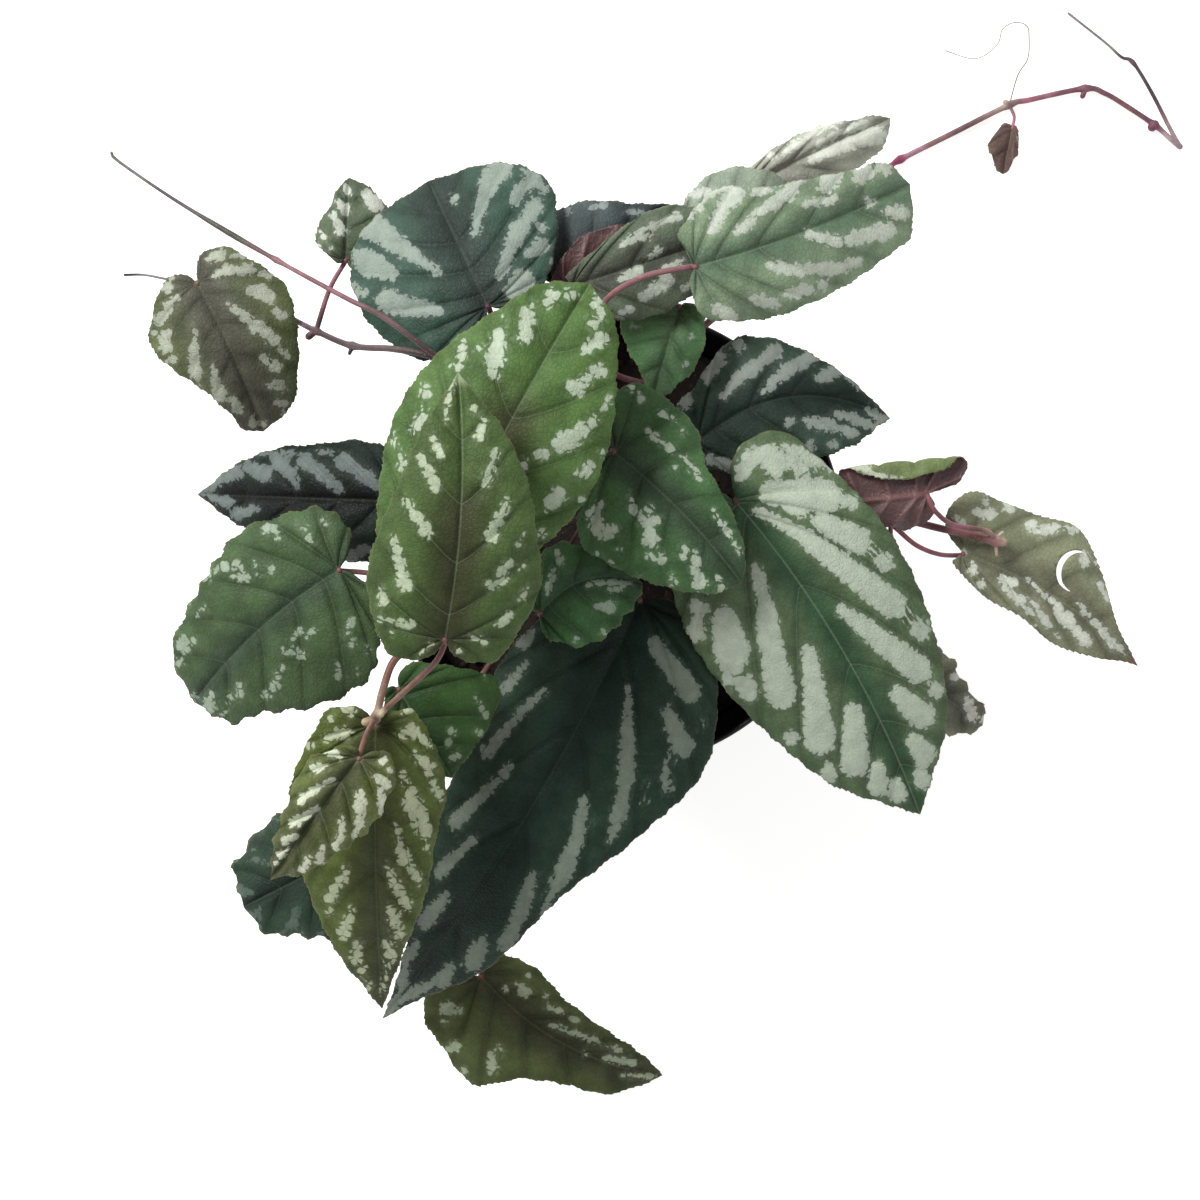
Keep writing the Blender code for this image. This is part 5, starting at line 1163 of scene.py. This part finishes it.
def tube_object(name, points, radii, sides=STEM_SIDES):
    """A closed tube round a line given in millimetres, with rounded ends."""
    runs = np.gradient(points, axis=0)
    runs /= np.linalg.norm(runs, axis=1)[:, None]
    across = np.cross(runs[0], TUBE_UP)
    first = []
    for run in runs:
        across = across - run * across.dot(run)
        across /= np.linalg.norm(across)
        first.append(across)
    first = np.array(first)
    second = np.cross(runs, first)
    caps = np.radians(CAP_ANGLES)[:, None]
    starts = points[0] - runs[0] * radii[0] * np.sin(caps)
    ends = points[-1] + runs[-1] * radii[-1] * np.sin(caps[::-1])
    rows = np.vstack([starts, points, ends])
    sizes = np.concatenate([radii[0] * np.cos(caps[:, 0]), radii, radii[-1] * np.cos(caps[::-1, 0])])
    first, second = (np.pad(part, ((len(caps), len(caps)), (0, 0)), "edge") for part in (first, second))
    turn = 2 * math.pi * np.arange(sides) / sides
    ring = np.cos(turn)[:, None] * first[:, None] + np.sin(turn)[:, None] * second[:, None]
    wall = (rows[:, None] + sizes[:, None, None] * ring).reshape(-1, 3)
    poles = [points[0] - runs[0] * radii[0], points[-1] + runs[-1] * radii[-1]]
    return mesh_object(name, np.vstack([wall, poles]) * MM, wall_faces(len(rows), sides))


def stem_tube(name, path, radii, nodes, spindle=None):
    """A stem or stalk through these places: it tapers, swells at its nodes and ends, and is a little uneven."""
    points, places = smooth_curve(path, STEM_STEP)
    reach = reach_along(points)
    first, last = radii
    size = first + (last - first) * places / (len(path) - 1)
    swell = 1 + END_SWELL * bell(reach[-1] - reach, END_REACH)
    bulges = [(node, NODE_SWELL, NODE_REACH) for node in nodes]
    if spindle:
        bulges.append((spindle, SPINDLE_SWELL, SPINDLE_REACH))
    for place, rise, far in bulges:
        swell += rise * bell(reach - np.interp(place, places, reach), far)
    uneven = 1 + UNEVEN * bump_field(points, UNEVEN_SIZE, UNEVEN_LAYER)
    return tube_object(name, points, SLIM * size * swell * uneven)


def carried_leaf(end):
    """Where the stalk that ends here meets the underside of the leaf that it carries, if it carries one."""
    for leaf in LEAVES.values():
        place = sight(*map(float, leaf["base"])) / MM
        if np.linalg.norm(place - end) < JOIN_REACH:
            return place - (0, 0, JOIN_DEPTH)
    return None


def vine_object(name):
    """A stem out of the soil with its stalks, side shoots and tendrils, joined into one mesh."""
    vine = VINES[name]
    foot_heights = [SOIL_TOP - HOLE_DEPTH + 2 * GAP] + [SOIL_TOP + rise for rise in FOOT_RISES]
    foot = [(*vine["root"], z) for z in foot_heights]
    spindle = vine["spindle"] + len(foot) if "spindle" in vine else None
    lines = [(foot + seen(vine["stem"]), vine["radii"], [n + len(foot) for n in vine["nodes"]], spindle)]
    lines += [(seen(shoot["path"]), shoot["radii"], shoot.get("nodes", ()), None) for shoot in vine["shoots"]]
    tubes, spots = [], []
    for number, (path, radii, nodes, swelling) in enumerate(lines):
        join = carried_leaf(np.array(path[-1]))
        if join is not None:
            path = path + [tuple(join)]
        tubes.append(stem_tube(f"{name}_{number}", path, radii, nodes, swelling))
        spots += [path[node] for node in nodes]
    main = tubes[0]
    if tubes[1:]:
        combine(main, tubes[1:], "UNION")
    main.name = name + "_stem"
    paint_stem(main.data, name, spots)
    return main


def paint_stem(mesh, name, spots):
    """Keeps on each point of a stem its hue and how far it is from the nearest node, in millimetres."""
    points = np.empty(len(mesh.vertices) * 3, np.float32)
    mesh.vertices.foreach_get("co", points)
    points = points.reshape(-1, 3) / MM
    share = (SIGHT_HEIGHT - points[:, 2]) / (SIGHT_HEIGHT - POT_HEIGHT)
    plan = (points[:, :2] - (SIGHT_X, SIGHT_Y)) / share[:, None] + (SIGHT_X, SIGHT_Y)
    hues = HUES[name]
    away = np.linalg.norm(plan[:, None] - np.array([hue[:2] for hue in hues])[None], axis=2)
    weight = 1 / (away + HUE_SOFT) ** HUE_POWER
    weight /= weight.sum(axis=1)[:, None]
    add_layer(mesh, "hue", "FLOAT_COLOR", "POINT", "color", weight @ np.array([linear(hue[2]) for hue in hues]))
    near = np.full(len(points), NO_NODE)
    for spot in spots:
        near = np.minimum(near, np.linalg.norm(points - spot, axis=1))
    add_layer(mesh, "node", "FLOAT", "POINT", "value", near)


def wall_radius(z):
    """The pot's outer radius under its rim band, in millimetres."""
    return BASE_RADIUS + (NECK_RADIUS - BASE_RADIUS) * z / (POT_HEIGHT - RIM_BAND)


def turned_object(name, profile, steps, lump=None):
    """A solid of revolution. Its profile starts and ends on the axis, running down outside."""
    turn = 2 * math.pi * np.arange(steps) / steps
    rows = [np.stack([r * np.cos(turn), r * np.sin(turn), np.full(steps, z)], -1) for r, z in profile[1:-1]]
    points = np.vstack([*rows, [(0, 0, profile[0][1]), (0, 0, profile[-1][1])]])
    if lump:
        points[:, 2] += lump(points)
    return mesh_object(name, points * MM, [face[::-1] for face in wall_faces(len(rows), steps)])


def pot_object():
    """The pot: its profile runs out over the floor, up inside, down outside and across the underside."""
    neck = POT_HEIGHT - RIM_BAND
    floor = FLOOR_RISE + FLOOR_THICK
    inside = [
        (0, floor), (wall_radius(floor) - POT_WALL - EDGE, floor),
        (wall_radius(floor + 1) - POT_WALL, floor + 1), (wall_radius(neck - 1) - POT_WALL, neck - 1),
        (RIM_RADIUS - RIM_STEP - POT_WALL, neck + 2 * EDGE),
        (RIM_RADIUS - POT_WALL - EDGE / 2, POT_HEIGHT - EDGE),
        (RIM_RADIUS - POT_WALL + EDGE / 2, POT_HEIGHT),
    ]
    outside = [
        (RIM_RADIUS - EDGE, POT_HEIGHT), (RIM_RADIUS, POT_HEIGHT - EDGE),
        (RIM_RADIUS - EDGE / 2, neck + EDGE), (RIM_RADIUS - RIM_STEP, neck), (NECK_RADIUS + EDGE, neck),
        (wall_radius(neck - 1), neck - 1), (wall_radius(2 * FOOT_SLOPE), 2 * FOOT_SLOPE),
        (BASE_RADIUS - FOOT_SLOPE, 0), (FOOT_RING, 0), (FOOT_RING - FOOT_SLOPE, FLOOR_RISE),
        (FOOT_RADIUS + FOOT_SLOPE, FLOOR_RISE), (FOOT_RADIUS, 0), (0, 0),
    ]
    pot = turned_object("pot_body", inside + outside, POT_STEPS)
    holes = []
    for k in range(DRAIN_COUNT):
        angle = 2 * math.pi * k / DRAIN_COUNT
        place = (DRAIN_PLACE * math.cos(angle), DRAIN_PLACE * math.sin(angle))
        ends = np.array([(*place, -1.0), (*place, floor + 1.0)])
        holes.append(tube_object(f"drain_{k}", ends, np.full(2, DRAIN_RADIUS), DRAIN_SIDES))
    combine(pot, holes, "DIFFERENCE")
    pot.data.set_sharp_from_angle(angle=math.radians(SHARP_ANGLE))
    return pot


def soil_lump(points):
    """How far the soil's top is raised or sunk at each point."""
    on_top = np.clip((points[:, 2] - SOIL_TOP + 2 * SOIL_EDGE) / SOIL_EDGE, 0, 1)
    return on_top * sum(high * bump_field(points[:, :2], size, layer) for high, size, layer in SOIL_LUMPS)


def soil_object():
    """A plug of potting mix that fills the pot, with a crumbly top."""
    low = FLOOR_RISE + FLOOR_THICK + GAP
    rise = SOIL_TOP - SOIL_EDGE
    top_radius = wall_radius(rise) - POT_WALL - 2 * GAP
    rings = [(top_radius * k / SOIL_RINGS, SOIL_TOP) for k in range(SOIL_RINGS)]
    profile = rings + [(top_radius, rise), (wall_radius(low) - POT_WALL - 4 * GAP, low), (0, low)]
    return turned_object("soil_plug", profile, SOIL_SPOKES, soil_lump)


def chips_object():
    """Chips of bark and crumbs that lie on the soil."""
    draw = random.Random(CHIP_SEED)
    form = bmesh.new()
    for _ in range(CHIPS):
        size = draw.uniform(*CHIP_SIZES)
        reach = (wall_radius(SOIL_TOP) - POT_WALL - CHIP_MARGIN) * math.sqrt(draw.random())
        angle = draw.uniform(0, 2 * math.pi)
        x, y = reach * math.cos(angle), reach * math.sin(angle)
        z = SOIL_TOP + float(soil_lump(np.array([(x, y, SOIL_TOP)]))[0]) + CHIP_RISE * size
        made = bmesh.ops.create_icosphere(form, subdivisions=1, radius=size)["verts"]
        stretch = Vector([draw.uniform(*limits) for limits in CHIP_STRETCH])
        turn = [draw.uniform(0, 6) for _ in range(3)]
        tilts = [share * angle - less for (share, less), angle in zip(CHIP_TILTS, turn)]
        for vert in made:
            rough = 1 + CHIP_ROUGH * noise.noise(vert.co * CHIP_ROUGH_SCALE + Vector((x, y, 0)))
            spot = Vector([a * b for a, b in zip(vert.co * rough, stretch)])
            spot.rotate(Euler((*tilts, turn[2])))
            vert.co = (spot + Vector((x, y, z))) * MM
    return object_of("soil_chips", form)


class Paint:
    """The node tree of one material, with short calls that add nodes to it."""

    def __init__(self, name, roughness, **settings):
        self.material = bpy.data.materials.new(name)
        self.material.use_nodes = True
        self.tree = self.material.node_tree
        self.shader = self.tree.nodes["Principled BSDF"]
        self.shader.inputs["Roughness"].default_value = roughness
        for title, value in settings.items():
            self.shader.inputs[title.replace("_", " ")].default_value = value
        self.place = self.add("ShaderNodeTexCoord").outputs["Object"]

    def add(self, kind, inputs=(), **settings):
        node = self.tree.nodes.new(kind)
        for key, value in settings.items():
            setattr(node, key, value)
        for key, value in dict(inputs).items():
            self.put(value, node.inputs[key])
        return node

    def put(self, value, socket):
        if isinstance(value, bpy.types.NodeSocket):
            self.tree.links.new(value, socket)
        else:
            socket.default_value = value

    def math(self, operation, *values):
        return self.add("ShaderNodeMath", enumerate(values), operation=operation).outputs[0]

    def mix(self, share, first, second):
        return self.add("ShaderNodeMix", {0: share, 6: first, 7: second}, data_type="RGBA").outputs[2]

    def smooth(self, value, low, high, start=0.0, end=1.0):
        """start where the value is under low, end where it is over high, and smooth between."""
        inputs = {"Value": value, "From Min": low, "From Max": high, "To Min": start, "To Max": end}
        return self.add("ShaderNodeMapRange", inputs, interpolation_type="SMOOTHSTEP").outputs[0]

    def over(self, tint, colour, value, *steps):
        """The tint with a colour over it, by a share that goes smoothly from step to step with the value."""
        second = linear(colour) if isinstance(colour, str) else colour
        return self.mix(self.smooth(value, *steps), tint, second)

    def shaded(self, tint, value, *steps):
        """The tint with its brightness going smoothly from step to step with the value."""
        inputs = {"Color": tint, "Value": self.smooth(value, *steps)}
        return self.add("ShaderNodeHueSaturation", inputs).outputs[0]

    def noise(self, size, detail=2.0, output=0):
        """A soft noise from 0 to 1 with lumps about this many millimetres across."""
        inputs = {"Vector": self.place, "Scale": 1 / (size * MM), "Detail": detail}
        return self.add("ShaderNodeTexNoise", inputs).outputs[output]

    def cells(self, size, feature="DISTANCE_TO_EDGE", place=None):
        """How far each place is from the edge, or the middle, of a cell about this many millimetres across."""
        inputs = {"Vector": place or self.place, "Scale": 1 / (size * MM)}
        return self.add("ShaderNodeTexVoronoi", inputs, feature=feature).outputs["Distance"]

    def shaken(self, size, far):
        """Each place moved about by up to this many millimetres."""
        inputs = {0: self.noise(size, output="Color"), 1: (far * MM,) * 3, 2: self.place}
        return self.add("ShaderNodeVectorMath", inputs, operation="MULTIPLY_ADD").outputs[0]

    def attribute(self, title, output="Vector"):
        return self.add("ShaderNodeAttribute", attribute_name=title).outputs[output]

    def numbers(self, title):
        return self.add("ShaderNodeSeparateXYZ", {0: self.attribute(title)}).outputs[:3]

    def bump(self, height, depth):
        """Fine unevenness of the surface, its full height in millimetres."""
        inputs = {"Height": height, "Distance": depth * MM}
        self.put(self.add("ShaderNodeBump", inputs).outputs[0], self.shader.inputs["Normal"])

    def finish(self, colour, roughness=None):
        self.put(colour, self.shader.inputs["Base Color"])
        if roughness:
            self.put(roughness, self.shader.inputs["Roughness"])
        return self.material


def upper_paint(name):
    """A leaf's upper face: silver patches between thin pale veins, over a mottled blade."""
    look = look_of(name)
    length = math.dist(LEAVES[name]["base"][:2], LEAVES[name]["tip"][:2])
    paint = Paint(name + "_upper", 0.46, Specular_IOR_Level=SHINE)
    patch, out, edge = paint.numbers("places")
    vein, along, reach = paint.numbers("veins")
    fine = paint.noise(*FINE)
    net = paint.cells(NET_SIZE)
    ragged = paint.math("ADD", patch, look["grow"])
    for rough, deep in ((paint.noise(*LUMP), LUMP_DEPTH), (fine, FINE_DEPTH)):
        ragged = paint.math("MULTIPLY_ADD", paint.math("SUBTRACT", rough, 0.5), deep * look["feather"], ragged)
    rounded = paint.smooth(paint.cells(ROUND_SIZE, place=paint.shaken(*ROUND_SHAKE)), *ROUNDED)
    ragged = paint.math("MULTIPLY_ADD", rounded, look["lumps"], ragged)
    deep_end = look["deep_end"] * length
    shade = paint.math("MULTIPLY", paint.smooth(out, DEEP_START, look["deep_out"], 1, 0),
                       paint.smooth(along, deep_end - DEEP_BEFORE, deep_end + DEEP_AFTER, 1, 0))
    tint = paint.mix(shade, linear(look["blade"]), linear(look["deep"]))
    tint = paint.shaded(tint, paint.noise(*MOTTLE), *MOTTLE_STEPS)
    tint = paint.over(tint, look["deep"], paint.noise(*STAIN), *STAIN_STEPS)
    # painted shade beside the sunk veins and painted light on the cells between them
    tint = paint.shaded(tint, vein, *VEIN_PAINTED_SHADE)
    # painted shade in the sunk net lines and painted light on the puffed cells
    tint = paint.shaded(tint, net, *NET_PAINTED_SHADE)
    thread = paint.math("MULTIPLY", paint.smooth(vein, *THREAD_WIDTH, THREAD_SHARE * look["lines"], 0),
                        paint.smooth(edge, *THREAD_END))
    tint = paint.mix(thread, tint, linear(VEIN_TINT))
    tint = paint.over(tint, VEIN_TINT, out, *MIDRIB_LINE, MIDRIB_SHARE * look["lines"], 0)
    silver = paint.shaded(linear(look["silver"]), ragged, *SILVER_DEPTH)
    silver = paint.shaded(silver, fine, *SILVER_GRAIN)
    silver = paint.shaded(silver, paint.noise(*SILVER_CLOUD), *SILVER_CLOUD_STEPS)
    tint = paint.over(tint, silver, ragged, *HALO)
    tint = paint.over(tint, silver, ragged, *SILVER_EDGE)
    tint = paint.over(tint, TOOTH_TINT, edge, *TOOTH_TINGE)
    tint = paint.over(tint, STALK_TINT, reach, *STALK_TINGE)
    if look["tip_share"]:
        tint = paint.over(tint, look["tip"], along, length - TIP_FROM, length - TIP_TO, 0, look["tip_share"])
    paint.bump(paint.math("MULTIPLY_ADD", paint.smooth(net, *NET_GROOVE), NET_HEIGHT, fine), FINE_BUMP)
    return paint.finish(tint, paint.smooth(ragged, *LEAF_ROUGH))


def under_paint(name):
    """A leaf's underside: purple-brown, with paler pinkish ribs and a fine net between them."""
    paint = Paint(name + "_under", 0.5)
    _, out, _ = paint.numbers("places")
    vein, _, _ = paint.numbers("veins")
    fine = paint.noise(*UNDER_FINE)
    net = paint.cells(UNDER_NET_SIZE)
    tint = paint.mix(paint.noise(*UNDER_CLOUD), linear(UNDERSIDE_DEEP), linear(UNDERSIDE))
    for value, steps in ((net, UNDER_NET), (vein, UNDER_RIB), (out, UNDER_MIDRIB)):
        tint = paint.over(tint, UNDER_VEIN, value, *steps)
    paint.bump(paint.math("MULTIPLY_ADD", paint.smooth(net, *NET_GROOVE, 1, 0), NET_HEIGHT, fine), FINE_BUMP)
    return paint.finish(tint, paint.smooth(fine, *UNDER_ROUGH))


def stem_paint(name):
    """Stems and stalks: their hue from place to place, small mottles, pale specks and blushed nodes."""
    paint = Paint(name + "_bark", 0.45, Specular_IOR_Level=0.3)
    fine = paint.noise(*BARK_FINE)
    tint = paint.shaded(paint.attribute("hue", "Color"), paint.noise(*BARK_CLOUD), *BARK_CLOUD_STEPS)
    tint = paint.over(tint, SPECK_TINT, paint.cells(SPECK_SIZE, "F1"), *SPECK_STEPS)
    tint = paint.over(tint, NODE_BLUSH, paint.attribute("node", "Fac"), *NODE_STEPS)
    paint.bump(fine, FINE_BUMP)
    return paint.finish(tint, paint.smooth(fine, *BARK_ROUGH))


def pot_paint():
    """Black moulded plastic with a faint grain and a thin film of dust in places."""
    paint = Paint("pot_plastic", 0.4, Specular_IOR_Level=0.35)
    grain = paint.noise(*GRAIN)
    tint = paint.over(linear(PLASTIC), DUST, paint.noise(*DUST_CLOUD), *DUST_STEPS)
    tint = paint.shaded(tint, grain, *GRAIN_STEPS)
    paint.bump(grain, GRAIN_BUMP)
    return paint.finish(tint, paint.smooth(paint.noise(*GLOSS_CLOUD), *GLOSS_STEPS))


def soil_paint(name, dark, light):
    paint = Paint(name, 0.95)
    crumb = paint.noise(*CRUMB)
    tint = paint.over(linear(dark), light, crumb, *CRUMB_STEPS)
    tint = paint.over(tint, GRIT, paint.cells(GRIT_SIZE, "F1"), *GRIT_STEPS)
    paint.bump(crumb, CRUMB_BUMP)
    return paint.finish(tint, paint.smooth(crumb, *CRUMB_ROUGH))


def place_piece(obj, slot, materials, *nodes):
    """A finished piece: its materials and the solids that it stands for. Its slot is not used."""
    for material in materials:
        obj.data.materials.append(material)
    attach(obj, "root")
    if nodes:
        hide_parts(*nodes)


def add_leaves():
    slots = {f"leaf_{number:02d}": slot for slot, numbers in LEAF_SLOTS.items() for number in numbers}
    for name in LEAVES:
        leaf = leaf_object(name)
        if name == TORN_LEAF:
            combine(leaf, [tear_cutter()], "DIFFERENCE")
        place_piece(leaf, slots[name], [upper_paint(name), under_paint(name)], name)


def add_stage():
    """A white floor, a large soft light from the upper left, and light from all round."""
    form = bmesh.new()
    bmesh.ops.create_grid(form, x_segments=1, y_segments=1, size=FLOOR_REACH)
    floor = object_of("floor", form)
    floor.location.z = -FLOOR_DROP * MM
    paint = Paint("floor_white", 0.9, Emission_Strength=FLOOR_GLOW, Emission_Color=(1, 1, 1, 1))
    floor.data.materials.append(paint.finish(linear(FLOOR_WHITE)))
    world = bpy.data.worlds.new("studio")
    world.use_nodes = True
    world.node_tree.nodes["Background"].inputs["Color"].default_value = SKY
    world.node_tree.nodes["Background"].inputs["Strength"].default_value = SKY_STRENGTH
    bpy.context.scene.world = world
    for name, spot, size, power in LIGHTS:
        light = bpy.data.lights.new(name, "AREA")
        light.size = size
        light.energy = power
        lamp = linked(bpy.data.objects.new(name, light))
        lamp.location = spot
        lamp.rotation_euler = (Vector(LIGHT_GOAL) - Vector(spot)).to_track_quat("-Z", "Y").to_euler()


def add_camera():
    """The camera looks straight down, at the distance that the plan was measured from."""
    data = bpy.data.cameras.new("camera")
    data.lens = data.sensor_width * (SIGHT_HEIGHT - POT_HEIGHT) / PHOTO_SIDE
    camera = linked(bpy.data.objects.new("camera", data))
    camera.location = Vector((SIGHT_X, SIGHT_Y, SIGHT_HEIGHT)) * MM
    bpy.context.scene.camera = camera


add_leaves()
for vine in VINES:
    place_piece(vine_object(vine), VINE_SLOTS.get(vine, "stem_brown"), [stem_paint(vine)], vine)
place_piece(pot_object(), "pot_plastic", [pot_paint()], "pot")
# The soil's colours are the mix's own dark brown, made darker still as painted shade for the soil that lies in
# shade under the leaves
place_piece(soil_object(), "soil", [soil_paint("soil_mix", "#120e0b", "#2e251d")], "soil")
place_piece(chips_object(), "soil", [soil_paint("bark_chips", "#231a13", "#4c3c2d")])
add_stage()
add_camera()
bpy.context.scene.view_settings.view_transform = "Standard"
